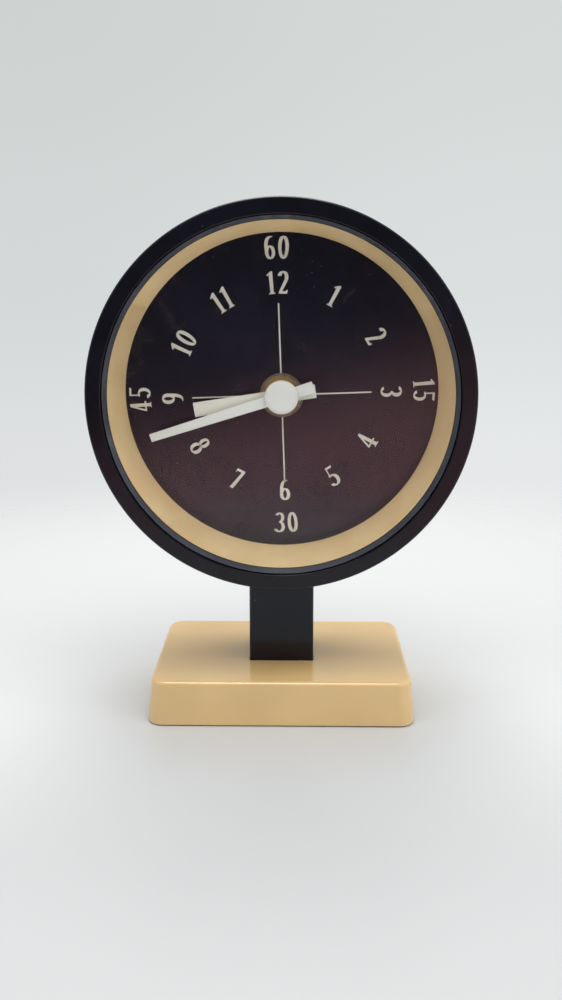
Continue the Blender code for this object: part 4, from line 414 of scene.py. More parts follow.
# %% Group: moulded grain
moulded_grain, given, result = start_group(
    "moulded_grain",
    [("Grain Size", 0.4 * MM), ("Cloud Size", 18 * MM)],
    ["Grain", "Cloud"],
)
for label, size, detail in (("Grain", "Grain Size", 3.0), ("Cloud", "Cloud Size", 2.0)):
    scale = math_node(moulded_grain, "DIVIDE", 1.0, given[size])
    moulded_grain.links.new(noise_on(moulded_grain, scale, detail), result[label])
print("group", moulded_grain.name, [s.name for s in moulded_grain.interface.items_tree])

# %% [markdown]
# ### Dust
# Dust lies as single pale specks, more of them where the surface faces up. A cell pattern gives the
# specks their places, a slow noise thins them out in patches, and the normal keeps them off the sides.

# %% Group: settled dust
settled_dust, given, result = start_group(
    "settled_dust", [("Speck Spacing", 2.2 * MM), ("Speck Share", 0.10)], ["Specks"]
)
scale = math_node(settled_dust, "DIVIDE", 1.0, given["Speck Spacing"])
cells = add_node(
    settled_dust, "ShaderNodeTexVoronoi", {"Vector": object_place(settled_dust), "Scale": scale}
)
near = math_node(settled_dust, "LESS_THAN", cells.outputs["Distance"], given["Speck Share"])
patches = stretch_range(settled_dust, noise_on(settled_dust, 60.0, 1.0), 0.46, 0.62)
thinned = math_node(settled_dust, "MULTIPLY", near, patches)
normal_parts = add_node(
    settled_dust,
    "ShaderNodeSeparateXYZ",
    {0: add_node(settled_dust, "ShaderNodeNewGeometry").outputs["Normal"]},
)
facing_up = stretch_range(settled_dust, normal_parts.outputs["Z"], -0.5, 0.8, 0.25, 1.0)
settled_dust.links.new(math_node(settled_dust, "MULTIPLY", thinned, facing_up), result["Specks"])
print("group", settled_dust.name)

# %% [markdown]
# ### Edge wear
# An edge that hands and cloths rub gets paler and shinier. A bevelled normal differs from the true one
# only near an edge, so the difference between the two is a mask of the edges, broken up with noise.

# %% Group: rubbed edges
rubbed_edges, given, result = start_group(
    "rubbed_edges", [("Width", 0.5 * MM), ("Amount", 0.6)], ["Mask"]
)
rounded_normal = add_node(rubbed_edges, "ShaderNodeBevel", {"Radius": given["Width"]}, samples=4)
true_normal = add_node(rubbed_edges, "ShaderNodeNewGeometry").outputs["Normal"]
agreement = add_node(
    rubbed_edges,
    "ShaderNodeVectorMath",
    {0: rounded_normal.outputs[0], 1: true_normal},
    operation="DOT_PRODUCT",
).outputs["Value"]
apart = math_node(rubbed_edges, "SUBTRACT", 1.0, agreement)
on_edge = stretch_range(rubbed_edges, apart, 0.02, 0.20)
broken = stretch_range(rubbed_edges, noise_on(rubbed_edges, 420.0, 3.0), 0.42, 0.62)
kept = math_node(rubbed_edges, "MULTIPLY", on_edge, broken)
rubbed_edges.links.new(math_node(rubbed_edges, "MULTIPLY", kept, given["Amount"]), result["Mask"])
print("group", rubbed_edges.name)

# %% [markdown]
# ### Turned lines
# A washer or a hub that was cut on a lathe has fine rings round its middle. A noise that only follows
# the distance from the clock's axis gives them. The distance itself comes out as well, for thin lines.

# %% Group: turned lines
turned_lines, given, result = start_group(
    "turned_lines", [("Pitch", 0.25 * MM), ("Axis Height", AXIS.z)], ["Rings", "Radius"]
)
parts_of_place = place_parts(turned_lines)
rise = math_node(turned_lines, "SUBTRACT", parts_of_place["Z"], given["Axis Height"])
square_across = math_node(turned_lines, "MULTIPLY", parts_of_place["X"], parts_of_place["X"])
square_up = math_node(turned_lines, "MULTIPLY", rise, rise)
from_axis = math_node(
    turned_lines, "SQRT", math_node(turned_lines, "ADD", square_across, square_up)
)
turns = math_node(turned_lines, "DIVIDE", from_axis, given["Pitch"])
wobble = add_node(
    turned_lines,
    "ShaderNodeTexNoise",
    {"Scale": 1.0, "Detail": 4.0, "W": turns},
    noise_dimensions="1D",
)
turned_lines.links.new(wobble.outputs[0], result["Rings"])
turned_lines.links.new(from_axis, result["Radius"])
print("group", turned_lines.name)

# %% [markdown]
# ### Hand marks
# Gloss shows where it was touched: blurred patches that are a little duller than the rest.

# %% Group: hand marks
hand_marks, given, result = start_group("hand_marks", [("Patch Size", 14 * MM)], ["Haze"])
scale = math_node(hand_marks, "DIVIDE", 1.0, given["Patch Size"])
blotches = noise_on(hand_marks, scale, 5.0, Distortion=1.2)
hand_marks.links.new(stretch_range(hand_marks, blotches, 0.48, 0.70), result["Haze"])
print("group", hand_marks.name)

# %% [markdown]
# ## Recipes for the finishes
# One recipe serves every plastic and paint: a base colour that drifts a little, specks of dust, edges
# that are paler where they are rubbed, a roughness that follows the hand marks, and fine grain.


# %% Tools: place an effect, start a finish, bump its surface
def place_group(tree, group, **values):
    """Puts a shared effect into a material with its own values; _ in a name stands for a space."""
    node = tree.nodes.new("ShaderNodeGroup")
    node.node_tree = group
    for key, value in values.items():
        node.inputs[key.replace("_", " ")].default_value = value
    return node.outputs


def start_finish(name):
    """A new material with its Principled shader."""
    finish = bpy.data.materials.new(name)
    finish.use_nodes = True
    tree = finish.node_tree
    return finish, tree, tree.nodes["Principled BSDF"]


def bump(tree, shader, height, strength, distance):
    """Feeds a height to the shader's normal."""
    feeds = {"Height": height, "Strength": strength, "Distance": distance}
    node = add_node(tree, "ShaderNodeBump", feeds)
    tree.links.new(node.outputs[0], shader.inputs["Normal"])


# %% The plastic recipe
WEAR_WIDTH = 0.5 * MM
DUST_COLOR = paint(168, 166, 160)


def plastic(name, dark, light, gloss, grain=0.4 * MM, grain_height=0.01 * MM, edge=None,
            edge_amount=0.5, dust=0.0, cloud=18 * MM, specular=0.5):
    """Moulded plastic or paint. The colours are as on screen, gloss is two roughness values."""
    finish, tree, shader = start_finish(name)
    texture = place_group(tree, moulded_grain, Grain_Size=grain, Cloud_Size=cloud)
    clouded = stretch_range(tree, texture["Cloud"], 0.35, 0.65)
    color = mix_colors(tree, clouded, paint(*dark), paint(*light))
    if edge:
        worn = place_group(tree, rubbed_edges, Width=WEAR_WIDTH, Amount=edge_amount)
        color = mix_colors(tree, worn["Mask"], color, paint(*edge))
    if dust:
        specks = place_group(tree, settled_dust, Speck_Share=dust)
        color = mix_colors(tree, specks["Specks"], color, DUST_COLOR)
    tree.links.new(color, shader.inputs["Base Color"])
    haze = place_group(tree, hand_marks)
    rough = stretch_range(tree, haze["Haze"], 0.0, 1.0, *gloss)
    tree.links.new(rough, shader.inputs["Roughness"])
    shader.inputs["Specular IOR Level"].default_value = specular
    bump(tree, shader, texture["Grain"], 0.5, grain_height)
    print("finish", name, "roughness", gloss)
    return finish


# %% [markdown]
# ## Black plastic
# The drum, the front rim, the stem and the back are moulded in one glossy black. On the real clock the
# rim is the shiniest part, the drum and the stem have a softer shine, and the inside is left dull.

# %% Black plastics
rim_black = plastic(
    "rim_black", (14, 14, 20), (19, 19, 27), (0.16, 0.22), grain=0.5 * MM, grain_height=0.010 * MM,
    edge=(58, 58, 66), edge_amount=0.35, dust=0.04, specular=0.34
)
drum_black = plastic(
    "drum_black", (13, 13, 18), (22, 22, 28), (0.30, 0.38), grain_height=0.012 * MM,
    edge=(60, 60, 66), edge_amount=0.3, dust=0.04
)
stem_black = plastic(
    "stem_black", (13, 15, 25), (19, 22, 34), (0.14, 0.24), grain_height=0.006 * MM,
    edge=(66, 68, 76), edge_amount=0.4, dust=0.06, specular=0.36
)
back_black = plastic(
    "back_black", (16, 16, 19), (27, 27, 31), (0.42, 0.60), grain=0.7 * MM, grain_height=0.03 * MM,
    edge=(70, 70, 74), edge_amount=0.35, dust=0.07
)

# %% [markdown]
# ## Slate, sand and dial lacquer
# The narrow ring that holds the crystal is a dark slate grey. The base and the ring round the dial share
# one sand-coloured plastic, yellowed a little with age; the ring's copy is painted lighter, as painted
# light for the deep ring, which the lamps reach less. The dial is a blue-black lacquer, very smooth.

# %% Slate, sand, dial and hands
slate_gloss = plastic(
    "slate_ring", (58, 60, 67), (68, 70, 78), (0.12, 0.24), grain_height=0.003 * MM,
    edge=(120, 122, 128), edge_amount=0.3
)
sand_base = plastic(
    "sand_base", (210, 176, 121), (216, 182, 127), (0.16, 0.20), grain=0.8 * MM,
    grain_height=0.006 * MM, edge=(236, 210, 168), edge_amount=0.5, dust=0.03, cloud=30 * MM,
    specular=1.0
)
# Painted light: the ring's sand is painted lighter than the base's, for light that the deep ring lacks.
sand_ring_painted_light = plastic(
    "sand_ring_painted_light", (245, 214, 161), (252, 223, 173), (0.38, 0.52), grain=0.5 * MM,
    grain_height=0.008 * MM, dust=0.05, cloud=14 * MM
)
dial_lacquer = plastic(
    "dial_lacquer", (20, 20, 30), (27, 26, 37), (0.16, 0.28), grain=0.6 * MM,
    grain_height=0.003 * MM, dust=0.06, cloud=22 * MM
)
minute_enamel = plastic(
    "minute_enamel", (227, 229, 227), (235, 236, 233), (0.32, 0.45), grain_height=0.004 * MM,
    edge=(242, 240, 232), edge_amount=0.3
)
hour_enamel = plastic(
    "hour_enamel", (230, 229, 216), (238, 237, 225), (0.32, 0.45), grain_height=0.004 * MM,
    edge=(238, 234, 218), edge_amount=0.3
)
print_white = plastic(
    "print_white", (222, 219, 207), (232, 230, 219), (0.45, 0.60), grain=0.25 * MM,
    grain_height=0.004 * MM, cloud=5 * MM
)

# %% [markdown]
# ### A dark line inside the slate ring
# Where the ring meets the crystal its edge lies in a thin shadow, which shows all round as a black line.
# The line is painted by radius, between the base colour and the shader.

# %% Add the dark line
DARK_LINE = (53.98 * MM, 54.10 * MM)
tree = slate_gloss.node_tree
shader = tree.nodes["Principled BSDF"]
ring_color = shader.inputs["Base Color"].links[0].from_socket
from_axis = place_group(tree, turned_lines)["Radius"]
in_line = stretch_range(tree, from_axis, *DARK_LINE, 1.0, 0.0)
tree.links.new(
    mix_colors(tree, in_line, ring_color, paint(12, 12, 15)), shader.inputs["Base Color"]
)
print("dark line inside", DARK_LINE[1] / MM, "mm")

# %% [markdown]
# ## The crystal
# The crystal is a flat acrylic disc. Real glass shaders are slow to light through, so shadow rays pass
# straight through it as if it weren't there, and the dial behind it is lit as it would be.

# %% Crystal material
CRYSTAL_INDEX = 1.32
crystal_clear, tree, shader = start_finish("crystal_clear")
shader.inputs["Base Color"].default_value = (0.97, 0.98, 0.98, 1.0)
shader.inputs["Transmission Weight"].default_value = 1.0
shader.inputs["IOR"].default_value = CRYSTAL_INDEX
marks = place_group(tree, hand_marks, Patch_Size=22 * MM)
tree.links.new(
    stretch_range(tree, marks["Haze"], 0.0, 1.0, 0.0, 0.05), shader.inputs["Roughness"]
)
passing = add_node(tree, "ShaderNodeBsdfTransparent")
light_path = add_node(tree, "ShaderNodeLightPath")
glass = add_node(
    tree,
    "ShaderNodeMixShader",
    {0: light_path.outputs["Is Shadow Ray"], 1: shader.outputs[0], 2: passing.outputs[0]},
)
tree.links.new(glass.outputs[0], tree.nodes["Material Output"].inputs["Surface"])
print("crystal index", CRYSTAL_INDEX)

# %% [markdown]
# ## Metals
# Steel and brass parts share one recipe. Metal shows its making: fine turned rings on washers, nuts and
# wheels, wider ones on plates, and a thin dull film that changes the tone from place to place.


# %% The metal recipe
def metal(name, dark, light, gloss, pitch=0.25 * MM, ring_height=0.01 * MM, metallic=1.0,
          tarnish=None):
    """Turned or rolled metal, with a film of tarnish if it has a colour for it."""
    finish, tree, shader = start_finish(name)
    rings = place_group(tree, turned_lines, Pitch=pitch)
    clouds = place_group(tree, moulded_grain, Grain_Size=0.3 * MM, Cloud_Size=3 * MM)
    ringed = stretch_range(tree, rings["Rings"], 0.36, 0.64)
    color = mix_colors(tree, ringed, paint(*dark), paint(*light))
    if tarnish:
        film = stretch_range(tree, clouds["Cloud"], 0.48, 0.66)
        color = mix_colors(tree, film, color, paint(*tarnish))
    tree.links.new(color, shader.inputs["Base Color"])
    shader.inputs["Metallic"].default_value = metallic
    rough = stretch_range(tree, clouds["Grain"], 0.3, 0.7, *gloss)
    tree.links.new(rough, shader.inputs["Roughness"])
    bump(tree, shader, rings["Rings"], 0.5, ring_height)
    print("finish", name, "roughness", gloss)
    return finish


nut_brass = metal(
    "nut_brass", (186, 146, 74), (226, 190, 118), (0.24, 0.42), metallic=0.7, tarnish=(128, 100, 62)
)
washer_steel = metal(
    "washer_steel", (98, 86, 72), (190, 178, 162), (0.34, 0.5), pitch=0.3 * MM,
    ring_height=0.04 * MM, metallic=0.45, tarnish=(132, 116, 96)
)
screw_steel = metal(
    "screw_steel", (168, 170, 172), (206, 208, 210), (0.25, 0.42), pitch=0.4 * MM,
    tarnish=(140, 136, 128)
)
plate_steel = metal(
    "plate_steel", (150, 152, 154), (190, 192, 194), (0.35, 0.55), pitch=1.1 * MM,
    tarnish=(120, 116, 108)
)
wheel_brass = metal(
    "wheel_brass", (190, 150, 80), (222, 186, 112), (0.22, 0.36), tarnish=(170, 128, 66)
)
magnet_grey = metal(
    "magnet_grey", (70, 71, 74), (96, 97, 100), (0.4, 0.6), metallic=0.6
)

# %% [markdown]
# ## Copper wire
# The coil is hundreds of turns of enamelled wire, side by side. Bands across the coil's length stand
# for the turns, with painted shade, a darker red-brown, in the creases between them.

# %% Copper wire
WIRE_PITCH = 0.24 * MM
copper_wire, tree, shader = start_finish("copper_wire")
along = place_parts(tree)["X"]
phase = math_node(tree, "MULTIPLY", along, 2 * math.pi / WIRE_PITCH)
round_wire = stretch_range(tree, math_node(tree, "SINE", phase), -1.0, 1.0)
# Painted shade: darker red-brown in the creases between the turns, copper on their crests.
tree.links.new(
    mix_colors(tree, round_wire, paint(96, 44, 22), paint(206, 118, 66)),
    shader.inputs["Base Color"],
)
shader.inputs["Metallic"].default_value = 0.8
shader.inputs["Roughness"].default_value = 0.34
bump(tree, shader, round_wire, 0.8, 0.06 * MM)
print("wire pitch", WIRE_PITCH)

# %% [markdown]
# ## Movement plastics, circuit board, battery, felt and rubber
# The inside is seldom seen, but it is finished as well: pale wheels, a dark case with a matt grain, a
# green board with copper tracks, a battery in a printed sleeve, and a fibrous pad under the base.

# %% Movement plastics, rubber and felt
wheel_plastic = plastic(
    "wheel_plastic", (222, 220, 210), (234, 232, 224), (0.35, 0.5), grain_height=0.005 * MM,
    cloud=6 * MM
)
case_plastic = plastic(
    "case_plastic", (52, 53, 56), (66, 67, 70), (0.45, 0.62), grain=0.6 * MM,
    grain_height=0.03 * MM, edge=(96, 97, 100), edge_amount=0.3
)
cushion_rubber = plastic(
    "cushion_rubber", (30, 30, 30), (40, 40, 39), (0.7, 0.85), grain=0.5 * MM,
    grain_height=0.03 * MM
)
pad_felt = plastic(
    "pad_felt", (38, 44, 40), (62, 68, 62), (0.9, 1.0), grain=0.35 * MM, grain_height=0.25 * MM,
    cloud=2.5 * MM
)
pad_felt.node_tree.nodes["Principled BSDF"].inputs["Sheen Weight"].default_value = 0.4

# %% Circuit board
TRACKS_PER_METRE = 160.0
board_green, tree, shader = start_finish("board_green")
tracks = add_node(
    tree,
    "ShaderNodeTexBrick",
    {
        "Vector": add_node(
            tree,
            "ShaderNodeMapping",
            {"Vector": object_place(tree), "Rotation": (math.pi / 2, 0.0, 0.0)},
        ).outputs[0],
        "Scale": TRACKS_PER_METRE,
        "Mortar Size": 0.06,
        "Color1": paint(28, 92, 52),
        "Color2": paint(34, 104, 58),
        "Mortar": paint(74, 138, 70),
    },
)
tree.links.new(tracks.outputs["Color"], shader.inputs["Base Color"])
shader.inputs["Roughness"].default_value = 0.38
bump(tree, shader, tracks.outputs["Fac"], 0.4, 0.04 * MM)
print("board tracks per metre", TRACKS_PER_METRE)

# %% Battery sleeve
BAND_START = 0.7
TIN_END = 1.5 * MM
battery_left, battery_right = span("battery", "x")
sleeve, tree, shader = start_finish("battery_sleeve")
across = place_parts(tree)["X"]
band_from = battery_left + (battery_right - battery_left) * BAND_START
top_band = math_node(tree, "GREATER_THAN", across, band_from)
tin_end = math_node(tree, "GREATER_THAN", across, battery_right - TIN_END)
printed = mix_colors(tree, top_band, paint(40, 44, 54), paint(176, 122, 62))
ended = mix_colors(tree, tin_end, printed, paint(190, 190, 188))
grain = place_group(tree, moulded_grain, Grain_Size=0.5 * MM, Cloud_Size=9 * MM)
tree.links.new(mix_colors(
    tree, stretch_range(tree, grain["Cloud"], 0.2, 1.6), ended, paint(210, 208, 200)
), shader.inputs["Base Color"])
shader.inputs["Metallic"].default_value = 0.35
tree.links.new(
    stretch_range(tree, grain["Grain"], 0.2, 0.8, 0.22, 0.34), shader.inputs["Roughness"]
)
print("battery band starts at", round(band_from / MM, 1), "mm")

# %% [markdown]
# ## Every CAD node gets its finish
# A solid whose shape is right keeps its mesh and only has its material slot filled. The pieces that can be
# seen are replaced further down, but they get a finish here as well, so nothing is ever left plain.

# %% Hand out the finishes
PIECES_OF = (
    (rim_black, "bezel"),
    (slate_gloss, "crystal_ring"),
    (crystal_clear, "crystal"),
    (sand_ring_painted_light, "reflector_ring"),
    (dial_lacquer, "dial"),
    (drum_black, "drum_housing"),
    (stem_black, "stem"),
    (back_black, "rear_cover battery_door setting_knob base_cover control_chip"),
    (sand_base, "base_shell"),
    (pad_felt, "base_pad"),
    (minute_enamel, "minute_hand minute_hand_cap"),
    (hour_enamel, "hour_hand"),
    (nut_brass, "mounting_nut"),
    (washer_steel, "dial_washer"),
    (cushion_rubber, "movement_cushion"),
    (case_plastic, "movement_front_plate movement_rear_case train_plate"),
    (wheel_plastic, "hour_wheel motion_wheel third_wheel fourth_wheel intermediate_wheel"),
    (wheel_brass, "centre_wheel"),
    (screw_steel, "minute_arbor quartz_resonator contact_positive contact_negative"),
    (magnet_grey, "rotor"),
    (plate_steel, "ballast_plate stator coil_core"),
    (copper_wire, "coil"),
    (board_green, "circuit_board"),
    (sleeve, "battery"),
)
FINISH_OF = {name: finish for finish, names in PIECES_OF for name in names.split()}
for name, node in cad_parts.items():
    finish = screw_steel if "_screw_" in name else FINISH_OF[name]
    node.data.materials.clear()
    node.data.materials.append(finish)
print("finished nodes", len(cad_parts))

# %% [markdown]
# ## Turned pieces
# Nearly everything in the head of this clock is round about one axis, so the first tool is a lathe: a
# closed outline of (radius, depth) corners, each with its own rounding, swung round the axis in many
# steps. Rounding the corners in the outline is quicker and cleaner than bevelling the finished mesh.

# %% Round the corners of an outline
CORNER_BENDS = 5


def round_corners(corners):
    """Swaps each (radius, depth, rounding) corner for a short arc."""
    points = []
    for index, (across, along, rounding) in enumerate(corners):
        here = Vector((across, along))
        if not rounding:
            points.append(here)
            continue
        before = Vector(corners[index - 1][:2]) - here
        after = Vector(corners[(index + 1) % len(corners)][:2]) - here
        opening = before.angle(after)
        arc_reach = min(rounding / math.tan(opening / 2), 0.48 * before.length, 0.48 * after.length)
        start = here + before.normalized() * arc_reach
        end = here + after.normalized() * arc_reach
        for bend in range(CORNER_BENDS + 1):
            t = bend / CORNER_BENDS
            points.append(start * (1 - t) ** 2 + here * 2 * t * (1 - t) + end * t**2)
    return points


# %% Tools: finish a shape and shade it evenly
def add_piece(name, mesh):
    """Puts a mesh into the scene as a piece."""
    piece = bpy.data.objects.new(name, mesh)
    bpy.context.scene.collection.objects.link(piece)
    return piece


def finish_shape(shape, name):
    """Turns a built shape into a piece, and asks Blender to make its faces look outwards."""
    bmesh.ops.recalc_face_normals(shape, faces=shape.faces)
    mesh = bpy.data.meshes.new(name)
    shape.to_mesh(mesh)
    shape.free()
    return add_piece(name, mesh)


def even_shading(piece, sharp_from=40):
    """Smooth faces, with sharp edges over an angle, and normals that follow the large faces."""
    piece.data.shade_smooth()
    piece.data.set_sharp_from_angle(angle=math.radians(sharp_from))
    weighted = piece.modifiers.new("even_faces", "WEIGHTED_NORMAL")
    weighted.keep_sharp = True
    weighted.weight = 60
    return piece


# %% The lathe
TURN_STEPS = 192


def turn_on_lathe(name, corners, centre=AXIS, steps=TURN_STEPS):
    """A turned piece. It is closed if its outline starts and ends on the axis or never meets it."""
    outline = round_corners(corners)
    shape = bmesh.new()
    rings = []
    for point in outline:
        radius, along = point
        if radius < 1e-7:
            middle = shape.verts.new((centre.x, along, centre.z))
            rings.append([middle] * steps)
            continue
        ring = []
        for step in range(steps):
            turn = 2 * math.pi * step / steps
            ring.append(shape.verts.new((
                centre.x + radius * math.sin(turn), along, centre.z + radius * math.cos(turn)
            )))
        rings.append(ring)
    closed = all(point[0] > 1e-7 for point in outline)
    pairs = list(zip(rings, rings[1:] + rings[:1])) if closed else list(zip(rings, rings[1:]))
    for first, second in pairs:
        for step in range(steps):
            after = (step + 1) % steps
            corner_verts = []
            for vert in (first[step], first[after], second[after], second[step]):
                if vert not in corner_verts:
                    corner_verts.append(vert)
            if len(corner_verts) > 2:
                shape.faces.new(corner_verts)
    return finish_shape(shape, name)


# %% Give a piece its finish and its body
def dress(piece, finish, body, slot_name, *stands_for):
    """Gives a piece its finish and its body, and hides the CAD nodes that it stands for. slot_name is not
    used.
    """
    piece.data.materials.clear()
    piece.data.materials.append(finish)
    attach(piece, body)
    if stands_for:
        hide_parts(*stands_for)
    print("piece", piece.name, len(piece.data.vertices), "points, rides on", body)


def turned_piece(name, corners, *dressing, steps=TURN_STEPS):
    """A piece that is finished when it comes off the lathe."""
    dress(even_shading(turn_on_lathe(name, corners, steps=steps)), *dressing)


# %% [markdown]
# ## The front rim
# The rim is a ring that snaps into the drum. Its face is flat, its outer edge is round and its inner edge
# only a little. A spigot behind it holds the crystal's ring. It is turned with the CAD's own depths.

# %% Turn the front rim
rim_radius = reach("bezel")
rim_front, rim_back = span("bezel", "y")
glass_radius = reach("crystal")
ring_front, ring_back = span("crystal_ring", "y")
RIM_SIDE_DEPTH = 4.8 * MM
RIM_FACE_DEPTH = 2.8 * MM
RIM_OPENING = 55.3 * MM
RIM_ROUNDING = 0.3 * MM
SPIGOT_INSET = 2.3 * MM
SPIGOT_GAP = 0.3 * MM
spigot_radius = reach("drum_housing") - SPIGOT_INSET
spigot_bore = glass_radius + SPIGOT_GAP
turned_piece("front_rim", [
    (RIM_OPENING, rim_front, RIM_ROUNDING),
    (rim_radius, rim_front, 0.9 * MM),
    (rim_radius, rim_front + RIM_SIDE_DEPTH, 0.15 * MM),
    (spigot_radius, rim_front + RIM_SIDE_DEPTH, 0.0),
    (spigot_radius, rim_back, 0.2 * MM),
    (spigot_bore, rim_back, 0.2 * MM),
    (spigot_bore, rim_front + RIM_FACE_DEPTH, 0.0),
    (RIM_OPENING, rim_front + RIM_FACE_DEPTH, 0.1 * MM),
], rim_black, "case", "black_plastic", "bezel")

# %% [markdown]
# ## The slate ring and the crystal
# A narrow ring with a sloping face is pressed in from the front and holds the crystal. The slope is
# what shows as a thin grey band just inside the black rim. The crystal behind it is a flat clear disc.

# %% Turn the slate ring and the crystal
COLLAR_RADIUS = 55.0 * MM
BAND_FRONT_RADIUS = 54.92 * MM
BAND_BACK_RADIUS = 53.85 * MM
COLLAR_DEPTH = 1.9 * MM
turned_piece("slate_band", [
    (COLLAR_RADIUS, ring_front, 0.05 * MM),
    (COLLAR_RADIUS, ring_front + COLLAR_DEPTH, 0.0),
    (glass_radius, ring_front + COLLAR_DEPTH, 0.1 * MM),
    (glass_radius, ring_back, 0.1 * MM),
    (BAND_BACK_RADIUS, ring_back, 0.15 * MM),
    (BAND_FRONT_RADIUS, ring_front, 0.08 * MM),
], slate_gloss, "case", "slate_gloss", "crystal_ring")

glass_front, glass_back = span("crystal", "y")
turned_piece("crystal_disc", [
    (0.0, glass_front, 0.0),
    (glass_radius, glass_front, 0.15 * MM),
    (glass_radius, glass_back, 0.15 * MM),
    (0.0, glass_back, 0.0),
], crystal_clear, "case", "clear_acrylic", "crystal")

# %% [markdown]
# ## The sand-coloured ring
# Between the crystal and the dial a funnel-shaped ring hides the depth of the drum and throws light on
# the dial. Its back edge has a small upright lip, which shows as a darker line round the dial.

# %% Turn the sand ring
funnel_front, funnel_back = span("reflector_ring", "y")
funnel_flange = reach("reflector_ring")
FUNNEL_MOUTH = 54.1 * MM
FUNNEL_THROAT = 51.25 * MM
FUNNEL_WALL = 1.25 * MM
FUNNEL_LIP = 0.7 * MM
MOUTH_FLANGE = 0.8 * MM
DIAL_FLANGE = 1.2 * MM
turned_piece("sand_funnel", [
    (glass_radius, funnel_front, 0.1 * MM),
    (glass_radius, funnel_front + MOUTH_FLANGE, 0.1 * MM),
    (FUNNEL_MOUTH + FUNNEL_WALL, funnel_front + MOUTH_FLANGE, 0.2 * MM),
    (FUNNEL_THROAT + FUNNEL_WALL, funnel_back - DIAL_FLANGE, 0.2 * MM),
    (funnel_flange, funnel_back - DIAL_FLANGE, 0.1 * MM),
    (funnel_flange, funnel_back, 0.1 * MM),
    (FUNNEL_THROAT, funnel_back, 0.1 * MM),
    (FUNNEL_THROAT, funnel_back - FUNNEL_LIP, 0.15 * MM),
    (FUNNEL_MOUTH, funnel_front, 0.25 * MM),
], sand_ring_painted_light, "case", "tan_plastic", "reflector_ring")

# %% [markdown]
# ## The drum
# The drum is one moulding: a thin wall that narrows a little towards the back, a ledge inside that the
# dial rests on, and three bosses for the screws of the back. The wall is turned, and the bosses are
# joined to it and drilled with Booleans, which are then written into the mesh.


# %% Tools: settle, join and cut
def settle(piece, helpers):
    """Writes a piece's modifiers into its mesh and removes the helpers."""
    bpy.context.view_layer.update()
    graph = bpy.context.evaluated_depsgraph_get()
    mesh = bpy.data.meshes.new_from_object(piece.evaluated_get(graph))
    piece.modifiers.clear()
    mesh.name = piece.name
    piece.data = mesh
    for helper in helpers:
        bpy.data.objects.remove(helper, do_unlink=True)
    return piece


def shape_with(piece, operation, helpers):
    """Joins helpers to a piece (UNION) or cuts them out of it (DIFFERENCE)."""
    for helper in helpers:
        boolean = piece.modifiers.new(operation.lower(), "BOOLEAN")
        boolean.operation = operation
        boolean.solver = "EXACT"
        boolean.object = helper
    return settle(piece, helpers)


# %% Tools: bars and screw holes
SCREW_HOLE = 1.4 * MM
SCREW_ROOM = 1.1 * MM


def rod(radius, start, end, centre, steps=48, upright=False):
    """A plain bar along the clock's direction, or upright, used as a helper."""
    shape = bmesh.new()
    bmesh.ops.create_cone(
        shape, cap_ends=True, segments=steps, radius1=radius, radius2=radius, depth=end - start
    )
    bar = finish_shape(shape, "rod")
    middle = (start + end) / 2
    if upright:
        bar.location = (centre.x, centre.y, middle)
    else:
        bar.rotation_euler = (math.pi / 2, 0.0, 0.0)
        bar.location = (centre.x, middle, centre.z)
    return bar


def node_middle(name):
    """The middle of a node's box."""
    low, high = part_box(name)
    return (low + high) / 2


def screw_hole(node, foot, head):
    """An upright hole for a screw, between two heights."""
    return rod(SCREW_HOLE, foot, head, node_middle(node), 24, upright=True)


# %% Turn the drum and add its bosses
drum_radius = reach("drum_housing")
drum_front, drum_back = span("drum_housing", "y")
cover_front, cover_back = span("rear_cover", "y")
DRUM_TAPER = 0.4 * MM
DRUM_WALL = 2.1 * MM
LEDGE_WIDTH = 4.1 * MM
LEDGE_THICKNESS = 1.8 * MM
BOSS_RADIUS = 3.6 * MM
SEAT_GAP = 0.2 * MM
wall_inside = drum_radius - DRUM_WALL
ledge_front = dial_high.y + SEAT_GAP
drum = turn_on_lathe("drum", [
    (drum_radius, drum_front, 0.2 * MM),
    (drum_radius - DRUM_TAPER, drum_back, 0.9 * MM),
    (wall_inside, drum_back, 0.2 * MM),
    (wall_inside, ledge_front + LEDGE_THICKNESS, 0.0),
    (wall_inside - LEDGE_WIDTH, ledge_front + LEDGE_THICKNESS, 0.1 * MM),
    (wall_inside - LEDGE_WIDTH, ledge_front, 0.1 * MM),
    (wall_inside, ledge_front, 0.0),
    (wall_inside, drum_front, 0.1 * MM),
])
screw_places = [node_middle(f"rear_cover_screw_{index}") for index in (1, 2, 3)]
shape_with(drum, "UNION", [
    rod(BOSS_RADIUS, ledge_front + LEDGE_THICKNESS / 2, cover_front - SEAT_GAP, place)
    for place in screw_places
])
screw_tip = span("rear_cover_screw_1", "y")[0]
holes = [
    rod(SCREW_HOLE, screw_tip - SCREW_ROOM, cover_front + MM, place, 24) for place in screw_places
]
for node in ("stem_top_screw_1", "stem_top_screw_2"):
    holes.append(screw_hole(node, *span(node, "z")))
shape_with(drum, "DIFFERENCE", holes)
even_shading(drum)
dress(drum, drum_black, "case", "black_plastic", "drum_housing")

# %% [markdown]
# ## The dial and its print
# The dial is a thin lacquered disc with a hole for the movement's bush. A fine white cross is printed
# in its middle. The hours stand in an inner circle and the quarters of an hour in an outer one, and the
# figures in the lower half are turned round, so that every one can be read upright.
# The print sits a few hundredths of a millimetre in front of the lacquer, as screen-printed ink does.

# %% Turn the dial
DIAL_HOLE = 4.3 * MM
turned_piece("dial_plate", [
    (DIAL_HOLE, dial_low.y, 0.05 * MM),
    (reach("dial"), dial_low.y, 0.1 * MM),
    (reach("dial"), dial_high.y, 0.1 * MM),
    (DIAL_HOLE, dial_high.y, 0.05 * MM),
], dial_lacquer, "case", "dial_lacquer", "dial")

# %% Print the cross
PRINT_TURN = math.radians(-1.965)
INK_THICKNESS = 0.04 * MM
CROSS_REACH = 29.43 * MM
CROSS_START = 7.1 * MM
CROSS_WIDTH = 0.46 * MM


